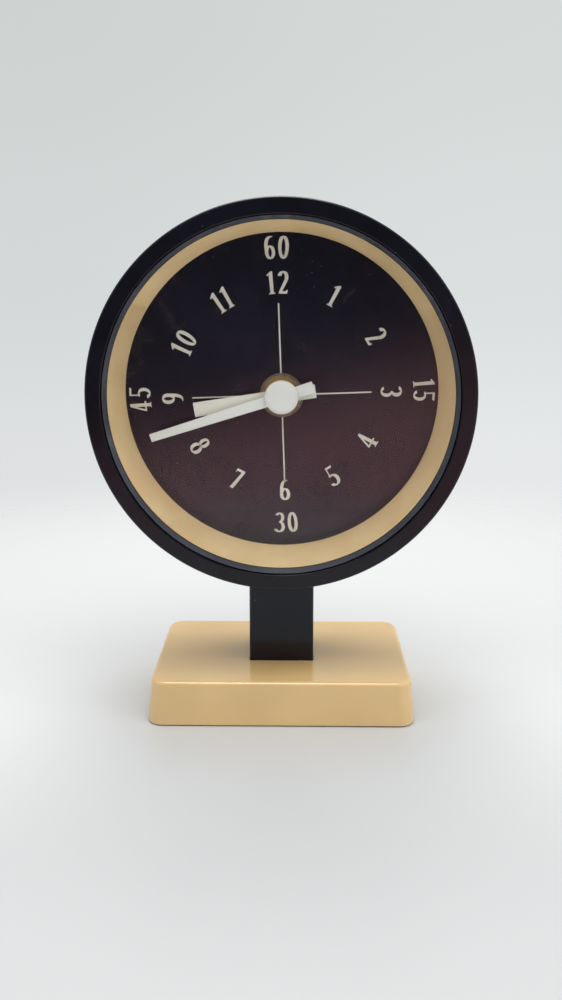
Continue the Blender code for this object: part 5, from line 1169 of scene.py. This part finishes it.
def dial_point(across, up, turn):
    """The place on the dial of a point that is drawn upright and then turned clockwise."""
    return (
        AXIS.x + across * math.cos(turn) + up * math.sin(turn),
        AXIS.z - across * math.sin(turn) + up * math.cos(turn),
    )


def close_prism(shape, first, second):
    """Fills the two ends of a prism and the walls between its two rows of corners."""
    shape.faces.new(first)
    shape.faces.new(list(reversed(second)))
    for index in range(len(first)):
        after = (index + 1) % len(first)
        shape.faces.new((first[index], second[index], second[after], first[after]))


def ink_plate(name, faces_of_points):
    """Thin solid plates of ink from flat outlines, given as (x, z) points on the dial."""
    shape = bmesh.new()
    for points in faces_of_points:
        front = [shape.verts.new((x, dial_low.y - INK_THICKNESS, z)) for x, z in points]
        back = [shape.verts.new((x, dial_low.y, z)) for x, z in points]
        close_prism(shape, front, back)
    return finish_shape(shape, name)


cross_lines = []
for quarter in range(4):
    turn = PRINT_TURN + quarter * math.pi / 2
    half = CROSS_WIDTH / 2
    cross_lines.append([
        dial_point(across, up, turn)
        for across, up in (
            (-half, CROSS_START),
            (-half, CROSS_REACH),
            (half, CROSS_REACH),
            (half, CROSS_START),
        )
    ])
dress(ink_plate("dial_cross", cross_lines), print_white, "case", "hand_enamel")

# %% [markdown]
# ### Figures drawn with a broad pen
# The print on such dials is bold and narrow: upright strokes are thick and level ones are thin, as a
# broad pen draws them. The built-in letters are too even for that, so each figure is drawn here as a few
# strokes of a flat oval pen. The edge of a stroke lies where the oval touches it: for a path whose normal
# is n, the pen's half width a and half height b give the offset (a*a*nx, b*b*ny) / |(a*nx, b*ny)|.

# %% The pen and its strokes
PEN_HALF_WIDTH = 0.078
PEN_HALF_HEIGHT = 0.034


def bow(middle, size, start, end, points=20):
    """Points on part of an oval, from one angle to another in degrees, anticlockwise from the right."""
    turns = [math.radians(start + (end - start) * i / points) for i in range(points + 1)]
    return [(middle[0] + size[0] * math.cos(t), middle[1] + size[1] * math.sin(t)) for t in turns]


def pen_edges(path, closed):
    """The two edges of a stroke of the pen along a path."""
    left, right = [], []
    count = len(path)
    for index, (x, y) in enumerate(path):
        before = path[index - 1] if closed or index else path[0]
        after = path[(index + 1) % count] if closed or index < count - 1 else path[-1]
        way = Vector((after[0] - before[0], after[1] - before[1])).normalized()
        nx, ny = -way.y, way.x
        width = math.hypot(PEN_HALF_WIDTH * nx, PEN_HALF_HEIGHT * ny)
        shift_x = PEN_HALF_WIDTH**2 * nx / width
        shift_y = PEN_HALF_HEIGHT**2 * ny / width
        left.append((x + shift_x, y + shift_y))
        right.append((x - shift_x, y - shift_y))
    return left, right


# %% Strokes and slabs
def stroke_solid(path, closed=False):
    """A slab one unit thick in the shape of one stroke."""
    left, right = pen_edges(path, closed)
    shape = bmesh.new()
    rows = []
    for level in (0.0, 1.0):
        rows.append((
            [shape.verts.new((x, y, level)) for x, y in left],
            [shape.verts.new((x, y, level)) for x, y in right],
        ))
    count = len(path)
    for index in range(count if closed else count - 1):
        after = (index + 1) % count
        for low_left, low_right in rows:
            shape.faces.new((low_left[index], low_left[after], low_right[after], low_right[index]))
        for edge in (0, 1):
            low, high = rows[0][edge], rows[1][edge]
            shape.faces.new((low[index], low[after], high[after], high[index]))
    if not closed:
        for end in (0, -1):
            shape.faces.new(
                (rows[0][0][end], rows[0][1][end], rows[1][1][end], rows[1][0][end])
            )
    return finish_shape(shape, "stroke")


def slab(points):
    """A slab one unit thick with a straight-sided outline, for bars and serifs."""
    shape = bmesh.new()
    low = [shape.verts.new((x, y, 0.0)) for x, y in points]
    high = [shape.verts.new((x, y, 1.0)) for x, y in points]
    shape.faces.new(low)
    shape.faces.new(high)
    for index in range(len(points)):
        after = (index + 1) % len(points)
        shape.faces.new((low[index], low[after], high[after], high[index]))
    return finish_shape(shape, "slab")


# %% The ten figures, one unit high
def draw_six():
    """The strokes of a six, which also serve for a nine."""
    tail = bow((0.30, 0.56), (0.20, 0.41), 72, 180, 12)
    return [
        stroke_solid(tail + [(0.10, 0.42)]),
        stroke_solid(bow((0.26, 0.30), (0.16, 0.265), 0, 360, 32)[:-1], closed=True),
    ]


FIGURE_STROKES = {
    "0": lambda: [stroke_solid(bow((0.25, 0.5), (0.165, 0.465), 0, 360, 40)[:-1], closed=True)],
    "1": lambda: [
        slab([
            (0.09, 0.0), (0.25, 0.0), (0.25, 1.0), (0.17, 1.0), (0.0, 0.86), (0.0, 0.80), (0.09, 0.84)
        ]),
        slab([(0.0, 0.0), (0.34, 0.0), (0.30, 0.055), (0.04, 0.055)]),
    ],
    "2": lambda: [
        stroke_solid(bow((0.24, 0.72), (0.155, 0.245), 165, -28, 18) + [(0.10, 0.04)]),
        slab([(0.03, 0.0), (0.45, 0.0), (0.47, 0.17), (0.43, 0.17), (0.38, 0.10), (0.06, 0.10)]),
    ],
    "3": lambda: [
        stroke_solid(bow((0.21, 0.745), (0.16, 0.22), 150, -90, 18)),
        stroke_solid(bow((0.20, 0.28), (0.19, 0.245), 90, -150, 20)),
    ],
    "4": lambda: [
        slab([(0.22, 0.0), (0.38, 0.0), (0.38, 1.0), (0.30, 1.0), (0.22, 0.80)]),
        slab([(0.25, 1.0), (0.33, 1.0), (0.08, 0.30), (0.0, 0.30)]),
        slab([(0.0, 0.23), (0.48, 0.23), (0.48, 0.31), (0.0, 0.31)]),
        slab([(0.16, 0.0), (0.44, 0.0), (0.41, 0.05), (0.19, 0.05)]),
    ],
    "5": lambda: [
        slab([(0.08, 0.90), (0.40, 0.90), (0.45, 1.0), (0.08, 1.0)]),
        slab([(0.08, 0.50), (0.14, 0.50), (0.14, 0.95), (0.08, 0.95)]),
        stroke_solid(bow((0.20, 0.30), (0.19, 0.265), 125, -150, 24)),
    ],
    "6": draw_six,
    "7": lambda: [
        slab([(0.02, 0.88), (0.47, 0.88), (0.47, 1.0), (0.02, 1.0), (0.0, 0.80), (0.04, 0.80)]),
        slab([(0.32, 0.92), (0.47, 0.92), (0.27, 0.0), (0.11, 0.0)]),
    ],
    "8": lambda: [
        stroke_solid(bow((0.25, 0.745), (0.145, 0.22), 0, 360, 32)[:-1], closed=True),
        stroke_solid(bow((0.25, 0.285), (0.17, 0.25), 0, 360, 32)[:-1], closed=True),
    ],
    "9": draw_six,
}
print("figures", " ".join(FIGURE_STROKES))


# %% Join the strokes of each figure
def draw_figure(figure):
    """One figure as a slab, its strokes joined; a nine is a six turned round."""
    strokes = FIGURE_STROKES[figure]()
    solid = strokes[0]
    if len(strokes) > 1:
        shape_with(solid, "UNION", strokes[1:])
    points = [vertex.co for vertex in solid.data.vertices]
    if figure == "9":
        for point in points:
            point.x = 0.5 - point.x
            point.y = 1.0 - point.y
    left = min(point.x for point in points)
    for point in points:
        point.x -= left
    width = max(point.x for point in points)
    mesh = solid.data
    bpy.data.objects.remove(solid, do_unlink=True)
    return mesh, width


figures = {figure: draw_figure(figure) for figure in FIGURE_STROKES}
print("figure widths", {figure: round(width, 2) for figure, (mesh, width) in figures.items()})

# %% Print the figures
INNER_MIDDLE = 35.9 * MM
INNER_MIDDLE_LOW = 32.1 * MM
OUTER_MIDDLE = 46.6 * MM
OUTER_MIDDLE_LOW = 43.4 * MM
FIGURE_HEIGHT = 7.0 * MM
FIGURE_GAP = 0.14
READ_FROM_BELOW = (4, 5, 6, 7, 8)
MINUTES_IN_HOUR = 60


def print_number(name, number, minutes, middle, flipped):
    """Prints a number at its place on the dial, bent along its circle, as solid ink."""
    digits = str(number)
    widths = [figures[digit][1] for digit in digits]
    start = -(sum(widths) + FIGURE_GAP * (len(digits) - 1)) / 2
    place_turn = PRINT_TURN + 2 * math.pi * minutes / MINUTES_IN_HOUR
    way = -1 if flipped else 1
    shape = bmesh.new()
    for digit, width in zip(digits, widths):
        first = len(shape.verts)
        shape.from_mesh(figures[digit][0])
        shape.verts.ensure_lookup_table()
        for vertex in shape.verts[first:]:
            radius = middle + way * (vertex.co.y - 0.5) * FIGURE_HEIGHT
            turn = place_turn + way * (start + vertex.co.x) * FIGURE_HEIGHT / middle
            x, z = dial_point(0.0, radius, turn)
            vertex.co = (x, dial_low.y - INK_THICKNESS * vertex.co.z, z)
        start += width + FIGURE_GAP
    dress(finish_shape(shape, name), print_white, "case", "hand_enamel")


for hour in range(1, 13):
    low_half = hour in READ_FROM_BELOW
    middle = INNER_MIDDLE_LOW if low_half else INNER_MIDDLE
    print_number(f"hour_figure_{hour}", hour, hour * 5, middle, low_half)
for minutes in (60, 15, 30, 45):
    low_half = minutes == 30
    middle = OUTER_MIDDLE_LOW if low_half else OUTER_MIDDLE
    print_number(f"minute_figure_{minutes}", minutes, minutes, middle, low_half)

# %% [markdown]
# ## Washer, nut and cap
# The movement is held to the dial by a thin washer and a round nut on its bush. Both have a fine
# knurl, which is modelled as real teeth round the edge, and the washer has a shallow groove beside it.
# A plain white cap hides the end of the shaft.

# %% A knurled ring
def knurled_ring(name, corners, teeth, depth, centre=AXIS, start_inside=0.35 * MM):
    """A turned piece whose outermost points go in and out, as a knurl does."""
    piece = turn_on_lathe(name, corners, centre, teeth * 6)
    outermost = max(corner[0] for corner in corners)
    start = outermost - start_inside
    for vertex in piece.data.vertices:
        across = vertex.co.x - centre.x
        up = vertex.co.z - centre.z
        radius = math.hypot(across, up)
        if radius > start:
            wave = 0.5 - 0.5 * math.cos(teeth * math.atan2(across, up))
            share = 1 - depth * wave * (radius - start) / start_inside / radius
            vertex.co.x = centre.x + across * share
            vertex.co.z = centre.z + up * share
    return even_shading(piece)


# %% Cut the washer and the nut
BUSH_HOLE = 4.2 * MM
WASHER_TEETH = 60
WASHER_KNURL = 0.16 * MM
NUT_TEETH = 48
NUT_KNURL = 0.18 * MM
WASHER_EXTRA = 0.3 * MM
GROOVE_DEPTH = 0.18 * MM
GROOVE_MOUTH = (0.75 * MM, 0.30 * MM)
GROOVE_FLOOR = (0.65 * MM, 0.40 * MM)
washer_front, washer_back = span("dial_washer", "y")
washer_radius = reach("dial_washer") + WASHER_EXTRA
knurled_washer = knurled_ring("knurled_washer", [
    (BUSH_HOLE, washer_front, 0.05 * MM),
    (washer_radius - GROOVE_MOUTH[0], washer_front, 0.05 * MM),
    (washer_radius - GROOVE_FLOOR[0], washer_front + GROOVE_DEPTH, 0.03 * MM),
    (washer_radius - GROOVE_FLOOR[1], washer_front + GROOVE_DEPTH, 0.03 * MM),
    (washer_radius - GROOVE_MOUTH[1], washer_front, 0.05 * MM),
    (washer_radius, washer_front, 0.15 * MM),
    (washer_radius, washer_back, 0.1 * MM),
    (BUSH_HOLE, washer_back, 0.05 * MM),
], WASHER_TEETH, WASHER_KNURL)
dress(knurled_washer, washer_steel, "case", "steel", "dial_washer")

nut_front, nut_back = span("mounting_nut", "y")
knurled_nut = knurled_ring("knurled_nut", [
    (BUSH_HOLE, nut_front, 0.2 * MM),
    (reach("mounting_nut"), nut_front, 0.3 * MM),
    (reach("mounting_nut"), nut_back, 0.1 * MM),
    (BUSH_HOLE, nut_back, 0.05 * MM),
], NUT_TEETH, NUT_KNURL)
dress(knurled_nut, nut_brass, "case", "brass", "mounting_nut")

# %% Turn the cap
cap_front, cap_back = span("minute_hand_cap", "y")
CAP_TOP = 4.5 * MM
CAP_STEP = 0.12 * MM
CAP_DRAFT = 0.1 * MM
CAP_SHOULDER = 0.3 * MM
cap_radius = reach("minute_hand_cap")
turned_piece("hub_cap", [
    (0.0, cap_front, 0.0),
    (CAP_TOP, cap_front, 0.1 * MM),
    (CAP_TOP + CAP_STEP, cap_front + CAP_STEP, 0.05 * MM),
    (cap_radius - CAP_DRAFT, cap_front + CAP_SHOULDER, 0.2 * MM),
    (cap_radius, cap_back, 0.1 * MM),
    (0.0, cap_back, 0.0),
], minute_enamel, "minute_set", "hand_enamel", "minute_hand_cap", steps=96)

# %% [markdown]
# ## The hands
# Each hand is stamped from thin sheet as one straight bar that is widest at one end, painted white, and
# pressed on its shaft by a collar. The bar is bevelled, so its edges catch a thin line of light.

# %% Tool: bevel some edges
def bevel_edges(shape, edges, width, bends):
    """Rounds some edges of a shape."""
    bmesh.ops.bevel(
        shape,
        geom=edges,
        offset=width,
        offset_type="OFFSET",
        segments=bends,
        profile=0.5,
        affect="EDGES",
    )


# %% Cut a hand
HAND_THICKNESS = 0.5 * MM
HAND_EDGE = 0.09 * MM
HUB_RADIUS = 4.85 * MM
HUB_SINK = 0.01 * MM


def cut_hand(name, node, sizes, turn):
    """A tapered bar with a hub and a collar, turned to its time."""
    length, tail, tip_width, tail_width, collar, bore = [size * MM for size in sizes]
    front, back = span(node, "y")
    corners = (
        (-tip_width / 2, length),
        (tip_width / 2, length),
        (tail_width / 2, -tail),
        (-tail_width / 2, -tail),
    )
    shape = bmesh.new()
    rows = []
    for along in (front, front + HAND_THICKNESS):
        row = []
        for across, up in corners:
            x, z = dial_point(across, up, turn)
            row.append(shape.verts.new((x, along, z)))
        rows.append(row)
    close_prism(shape, *rows)
    bmesh.ops.recalc_face_normals(shape, faces=shape.faces)
    bevel_edges(shape, shape.edges[:], HAND_EDGE, 2)
    hand = finish_shape(shape, name)
    hub_front = front + HUB_SINK
    hub_back = front + HAND_THICKNESS - HUB_SINK
    hub = turn_on_lathe("hub", [
        (0.0, hub_front, 0.0),
        (HUB_RADIUS, hub_front, 0.08 * MM),
        (HUB_RADIUS, hub_back, 0.08 * MM),
        (collar, hub_back, 0.0),
        (collar, back, 0.1 * MM),
        (0.0, back, 0.0),
    ], steps=72)
    shape_with(hand, "UNION", [hub])
    shape_with(hand, "DIFFERENCE", [rod(bore, front - MM, back + MM, AXIS)])
    return even_shading(hand)


# %% Fit the two hands at their time
# Length, tail, width at the tip, width at the tail, collar radius and bore radius, in millimetres.
MINUTE_SIZES = (44.9, 10.8, 2.65, 3.8, 2.0, 1.5)
HOUR_SIZES = (28.9, 11.2, 4.7, 4.4, 3.2, 2.7)
REST_MINUTE = 42.07
REST_HOUR = 8
MINUTE_TURN = 2 * math.pi * REST_MINUTE / MINUTES_IN_HOUR
HOUR_TURN = 2 * math.pi * (REST_HOUR + REST_MINUTE / MINUTES_IN_HOUR) / 12
minute_bar = cut_hand("minute_bar", "minute_hand", MINUTE_SIZES, MINUTE_TURN)
dress(minute_bar, minute_enamel, "minute_set", "hand_enamel", "minute_hand")
hour_bar = cut_hand("hour_bar", "hour_hand", HOUR_SIZES, HOUR_TURN)
dress(hour_bar, hour_enamel, "hour_set", "hand_enamel", "hour_hand")

# %% [markdown]
# ## The stem
# The stem is a short square post. Its top is cut to the drum's curve and its foot stands in a shallow
# socket in the base. It is a tapered box with narrow round edges, cut by a bar as wide as the drum.


# %% A box with round upright edges
def tapered_box(low, high, top_inset, upright_round, upright_bends):
    """A box whose top is smaller by an inset on each side, with its upright edges rounded."""
    shape = bmesh.new()
    bmesh.ops.create_cube(shape, size=1.0)
    size = [top - bottom for bottom, top in zip(low, high)]
    bmesh.ops.scale(shape, vec=size, verts=shape.verts)
    middle = [(top + bottom) / 2 for bottom, top in zip(low, high)]
    for vertex in shape.verts:
        if vertex.co.z > 0:
            vertex.co.x -= math.copysign(top_inset[0], vertex.co.x)
            vertex.co.y -= math.copysign(top_inset[1], vertex.co.y)
    bmesh.ops.translate(shape, vec=middle, verts=shape.verts)
    uprights = [
        edge for edge in shape.edges if abs(edge.verts[0].co.z - edge.verts[1].co.z) > size[2] / 2
    ]
    bevel_edges(shape, uprights, upright_round, upright_bends)
    return shape


def straight_block(name, low, high, upright_round, upright_bends):
    """A piece from a box with straight sides, for cutting and joining."""
    return finish_shape(tapered_box(low, high, (0.0, 0.0), upright_round, upright_bends), name)


def round_level(shape, level, width, bends):
    """Rounds the edges that lie flat at one height."""
    edges = [
        edge
        for edge in shape.edges
        if all(abs(vertex.co.z - level) < 0.01 * MM for vertex in edge.verts)
    ]
    bevel_edges(shape, edges, width, bends)


# %% Shape the stem
stem_low, stem_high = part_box("stem")
STEM_SIDE_DRAFT = 0.1 * MM
STEM_FRONT_DRAFT = 0.2 * MM
STEM_EDGE = 1.0 * MM
STEM_FOOT_EDGE = 0.15 * MM
SADDLE_GAP = 0.2 * MM
SADDLE_REACH = 30 * MM
stem_top = stem_high.z + 2 * MM
stem_shape = tapered_box(
    tuple(stem_low),
    (stem_high.x, stem_high.y, stem_top),
    (STEM_SIDE_DRAFT, STEM_FRONT_DRAFT),
    STEM_EDGE,
    6,
)
round_level(stem_shape, stem_low.z, STEM_FOOT_EDGE, 1)
stem_post = finish_shape(stem_shape, "stem_post")
stem_cuts = [rod(drum_radius + SADDLE_GAP, -SADDLE_REACH, SADDLE_REACH, AXIS, TURN_STEPS)]
for node in ("stem_top_screw_1", "stem_top_screw_2", "stem_foot_screw_1", "stem_foot_screw_2"):
    foot, head = span(node, "z")
    stem_cuts.append(screw_hole(node, foot - SCREW_ROOM, head + SCREW_ROOM))
shape_with(stem_post, "DIFFERENCE", stem_cuts)
even_shading(stem_post, 30)
dress(stem_post, stem_black, "case", "black_plastic", "stem")

# %% [markdown]
# ## The base
# The base is a hollow moulding that gets narrower towards the top, with generous round corners and a
# soft top edge. The soft edge is what makes the bright line along the front of the real base.

# %% Shape the base
base_low, base_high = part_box("base_shell")
BASE_TOP_INSET = 1.4 * MM
BASE_CORNER = 5.4 * MM
BASE_TOP_EDGE = 1.5 * MM
BASE_FOOT_EDGE = 0.6 * MM
BASE_WALL = 2.8 * MM
base_shape = tapered_box(
    tuple(base_low), tuple(base_high), (BASE_TOP_INSET, BASE_TOP_INSET), BASE_CORNER, 12
)
round_level(base_shape, base_high.z, BASE_TOP_EDGE, 6)
round_level(base_shape, base_low.z, BASE_FOOT_EDGE, 3)
base_block = finish_shape(base_shape, "base_block")
print("base", [round(v / MM, 1) for v in (base_high - base_low)])

# %% Hollow the base and cut its socket
HOLLOW_CORNER = 2.6 * MM
PEDESTAL_HALF = (14.0 * MM, 12.2 * MM)
PEDESTAL_FOOT = 10.5 * MM
PEDESTAL_CORNER = 0.6 * MM
BASE_BOSS_RADIUS = 2.8 * MM
SOCKET_GAP = 0.2 * MM
hollow_inset = BASE_WALL + BASE_TOP_INSET
inner_top = base_high.z - BASE_WALL / 2
ballast_foot = span("ballast_plate", "z")[0]
shape_with(base_block, "DIFFERENCE", [straight_block(
    "hollow",
    (base_low.x + hollow_inset, base_low.y + hollow_inset, base_low.z - 2 * MM),
    (base_high.x - hollow_inset, base_high.y - hollow_inset, base_high.z - BASE_WALL),
    HOLLOW_CORNER,
    6,
)])
bosses = [straight_block(
    "pedestal",
    (-PEDESTAL_HALF[0], -PEDESTAL_HALF[1], PEDESTAL_FOOT),
    (PEDESTAL_HALF[0], PEDESTAL_HALF[1], inner_top),
    PEDESTAL_CORNER,
    3,
)]
cuts = [straight_block(
    "socket",
    (stem_low.x - SOCKET_GAP, stem_low.y - SOCKET_GAP, stem_low.z - SOCKET_GAP),
    (stem_high.x + SOCKET_GAP, stem_high.y + SOCKET_GAP, base_high.z + 2 * MM),
    STEM_EDGE,
    6,
)]
for index in (1, 2):
    node = f"base_cover_screw_{index}"
    bosses.append(
        rod(BASE_BOSS_RADIUS, ballast_foot, inner_top, node_middle(node), 32, upright=True)
    )
    cuts.append(screw_hole(node, ballast_foot - MM, span(node, "z")[1] + SCREW_ROOM))
    cuts.append(screw_hole(f"stem_foot_screw_{index}", PEDESTAL_FOOT - MM, stem_low.z + MM))
shape_with(base_block, "UNION", bosses)
shape_with(base_block, "DIFFERENCE", cuts)
even_shading(base_block, 30)
dress(base_block, sand_base, "case", "tan_plastic", "base_shell")

# %% [markdown]
# ## The back of the clock
# A flat cover closes the drum. It has a window for the setting knob, one for the battery, two rails that
# the battery door slides in, and a small stop over it. Each rail is an upright wall with a lip. All of
# them are blocks with slightly soft edges, joined to a turned plate, and the windows are cut last.


# %% A block with soft edges
def soft_block(low, high, width=0.12 * MM):
    """A block between two corners with small rounded edges, used as a part of a moulding."""
    shape = bmesh.new()
    bmesh.ops.create_cube(shape, size=1.0)
    bmesh.ops.scale(shape, vec=[b - a for a, b in zip(low, high)], verts=shape.verts)
    bmesh.ops.translate(shape, vec=[(a + b) / 2 for a, b in zip(low, high)], verts=shape.verts)
    bevel_edges(shape, shape.edges[:], width, 2)
    return finish_shape(shape, "block")


def mirrored_block(side, near, far, rest_low, rest_high):
    """A soft block on the left (-1) or the right (1), between two distances from the middle."""
    left, right = sorted((side * near, side * far))
    return soft_block((left, *rest_low), (right, *rest_high))


# %% Build the back cover
COVER_PLATE = 1.8 * MM
DOOR_GAP = 0.3 * MM
RAIL_WIDTH = 2.2 * MM
RAIL_DROP = 16.7 * MM
LIP_THICKNESS = 0.8 * MM
DOOR_STRIP = 1.3 * MM
STOP_HALF = 6.0 * MM
STOP_HEIGHT = 1.2 * MM
door_low, door_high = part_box("battery_door")
knob_middle = node_middle("setting_knob")
plate_back = cover_front + COVER_PLATE
root = cover_front + COVER_PLATE / 2
lip_front = cover_back - LIP_THICKNESS
back_plate = turn_on_lathe("back_plate", [
    (0.0, cover_front, 0.0),
    (reach("rear_cover"), cover_front, 0.1 * MM),
    (reach("rear_cover"), plate_back, 0.5 * MM),
    (0.0, plate_back, 0.0),
])
print("back plate", round(reach("rear_cover") / MM, 1), "mm in radius")

# %% Join the stop and the rails
rails = [soft_block(
    (-STOP_HALF, root, door_high.z + DOOR_GAP),
    (STOP_HALF, lip_front, door_high.z + DOOR_GAP + STOP_HEIGHT),
)]
rail_near = door_high.x + DOOR_GAP
rail_far = rail_near + RAIL_WIDTH
rail_foot = door_low.z - RAIL_DROP
for side in (-1, 1):
    rails.append(mirrored_block(
        side,
        rail_near,
        rail_far,
        (root, rail_foot),
        (lip_front + LIP_THICKNESS / 2, door_high.z),
    ))
    rails.append(mirrored_block(
        side,
        rail_near - DOOR_STRIP,
        rail_far,
        (lip_front, rail_foot),
        (cover_back, door_high.z),
    ))
shape_with(back_plate, "UNION", rails)
print("rails from", round(rail_near / MM, 1), "to", round(rail_far / MM, 1), "mm off the middle")

# %% Cut the windows
KNOB_WINDOW = 7.4 * MM
CELL_WINDOW_HALF = 26.8 * MM
CELL_WINDOW_FOOT = 2.45 * MM
CELL_WINDOW_TOP = 1.85 * MM
windows = [rod(KNOB_WINDOW, cover_front - MM, plate_back + MM, knob_middle, 96)]
windows += [
    rod(SCREW_HOLE, cover_front - MM, plate_back + MM, place, 24) for place in screw_places
]
windows.append(soft_block(
    (-CELL_WINDOW_HALF, cover_front - MM, door_low.z + CELL_WINDOW_FOOT),
    (CELL_WINDOW_HALF, plate_back + 0.1 * MM, door_high.z - CELL_WINDOW_TOP),
))
shape_with(back_plate, "DIFFERENCE", windows)
even_shading(back_plate, 30)
dress(back_plate, back_black, "case", "black_plastic", "rear_cover")

# %% [markdown]
# ## The battery door and the setting knob
# The door is a thin plate with a raised middle and four small ribs for the thumb. The knob is a turned
# cup with eighteen soft flutes, on the end of the arbor that sets the hands.

# %% Build the battery door
STRIP_THICKNESS = 0.8 * MM
RIBS = 4
RIB_RISE = 0.3 * MM
RIB_HALF = 8.0 * MM
RIB_PITCH = 1.5 * MM
RIB_HEIGHT = 0.7 * MM
door_root = door_low.y + STRIP_THICKNESS / 2
door_plate = soft_block(
    tuple(door_low), (door_high.x, door_low.y + STRIP_THICKNESS, door_high.z)
)
raised = [mirrored_block(
    1,
    DOOR_STRIP - door_high.x,
    door_high.x - DOOR_STRIP,
    (door_root, door_low.z),
    (door_high.y - RIB_RISE, door_high.z),
)]
for index in range(RIBS):
    rib_top = door_high.z - (index + 1) * RIB_PITCH
    raised.append(soft_block(
        (-RIB_HALF, door_root, rib_top - RIB_HEIGHT), (RIB_HALF, door_high.y, rib_top)
    ))
door_plate.name = door_plate.data.name = "door_plate"
shape_with(door_plate, "UNION", raised)
even_shading(door_plate, 30)
dress(door_plate, back_black, "door", "black_plastic", "battery_door")

# %% Turn the setting knob
knob_front, knob_back = span("setting_knob", "y")
knob_radius = reach("setting_knob")
FLUTES = 18
FLUTE_DEPTH = 0.45 * MM
FLUTE_START = 1.4 * MM
DISH_DEPTH = 0.4 * MM
ARBOR_BORE = 1.3 * MM
BORE_DEPTH = 3.4 * MM
DISH_RADIUS = 4.3 * MM
knob_grip = knurled_ring("knob_grip", [
    (ARBOR_BORE, knob_front, 0.1 * MM),
    (knob_radius, knob_front, 0.2 * MM),
    (knob_radius, knob_back, 0.6 * MM),
    (DISH_RADIUS, knob_back, 0.2 * MM),
    (DISH_RADIUS - DISH_DEPTH, knob_back - DISH_DEPTH, 0.2 * MM),
    (0.0, knob_back - DISH_DEPTH, 0.0),
    (0.0, knob_front + BORE_DEPTH, 0.0),
    (ARBOR_BORE, knob_front + BORE_DEPTH, 0.1 * MM),
], FLUTES, FLUTE_DEPTH, knob_middle, FLUTE_START)
dress(knob_grip, back_black, "setting_set", "black_plastic", "setting_knob")

# %% [markdown]
# ## Screws
# The screws have slotted pan heads. Each is turned at the middle of the scene and then moved to its
# place. Hand-driven screws never stop at the same angle, so each slot is turned a little differently.


# %% A slotted screw
HEAD_RADIUS = 2.5 * MM
HEAD_HEIGHT = 1.4 * MM
SHAFT_RADIUS = 1.1 * MM
SCREW_LENGTH = 8.0 * MM
SLOT_WIDTH = 0.7 * MM
SLOT_DEPTH = 0.6 * MM
THREAD_PITCH = 0.8 * MM
THREAD_DEPTH = 0.2 * MM
HEAD_ROUNDING = 0.8 * MM
ORIGIN = Vector((0.0, 0.0, 0.0))


def pan_screw(name, node, seat, away, slot_turn):
    """A slotted screw whose head stands on its seat and points away from the clock."""
    corners = [
        (0.0, HEAD_HEIGHT, 0.0),
        (HEAD_RADIUS, HEAD_HEIGHT, HEAD_ROUNDING),
        (HEAD_RADIUS, 0.0, 0.1 * MM),
    ]
    groove = SHAFT_RADIUS - THREAD_DEPTH
    threads = int((SCREW_LENGTH - 2 * SHAFT_RADIUS) / THREAD_PITCH)
    for index in range(threads):
        crest = -(index + 0.5) * THREAD_PITCH
        corners.append((groove, crest + THREAD_PITCH / 2, 0.0))
        corners.append((SHAFT_RADIUS, crest, 0.0))
    corners.append((groove, -threads * THREAD_PITCH, 0.0))
    corners.append((0.0, -SCREW_LENGTH, 0.0))
    screw = turn_on_lathe(name, corners, ORIGIN, 48)
    reach_out = HEAD_RADIUS + MM
    slot = soft_block(
        (-reach_out, HEAD_HEIGHT - SLOT_DEPTH, -SLOT_WIDTH / 2),
        (reach_out, HEAD_HEIGHT + MM, SLOT_WIDTH / 2),
        0.05 * MM,
    )
    shape_with(screw, "DIFFERENCE", [slot])
    turned = Matrix.Rotation(slot_turn, 4, "Y")
    aimed = Vector((0.0, 1.0, 0.0)).rotation_difference(Vector(away)).to_matrix().to_4x4()
    screw.data.transform(Matrix.Translation(seat) @ aimed @ turned)
    even_shading(screw, 30)
    dress(screw, screw_steel, "case", "steel", node)


# %% Put the screws that can be seen in their places
for index, slot_degrees in ((1, 24), (2, -38), (3, 71)):
    node = f"rear_cover_screw_{index}"
    place = node_middle(node)
    seat = Vector((place.x, span(node, "y")[1] - HEAD_HEIGHT, place.z))
    pan_screw(f"back_screw_{index}", node, seat, (0.0, 1.0, 0.0), math.radians(slot_degrees))
for index, slot_degrees in ((1, 15), (2, -52)):
    node = f"base_cover_screw_{index}"
    place = node_middle(node)
    seat = Vector((place.x, place.y, span(node, "z")[0] + HEAD_HEIGHT))
    pan_screw(f"foot_screw_{index}", node, seat, (0.0, 0.0, -1.0), math.radians(slot_degrees))

# %% [markdown]
# ## The last lines
# The scene is brought up to date at the end.

# %% Finish
bpy.context.view_layer.update()
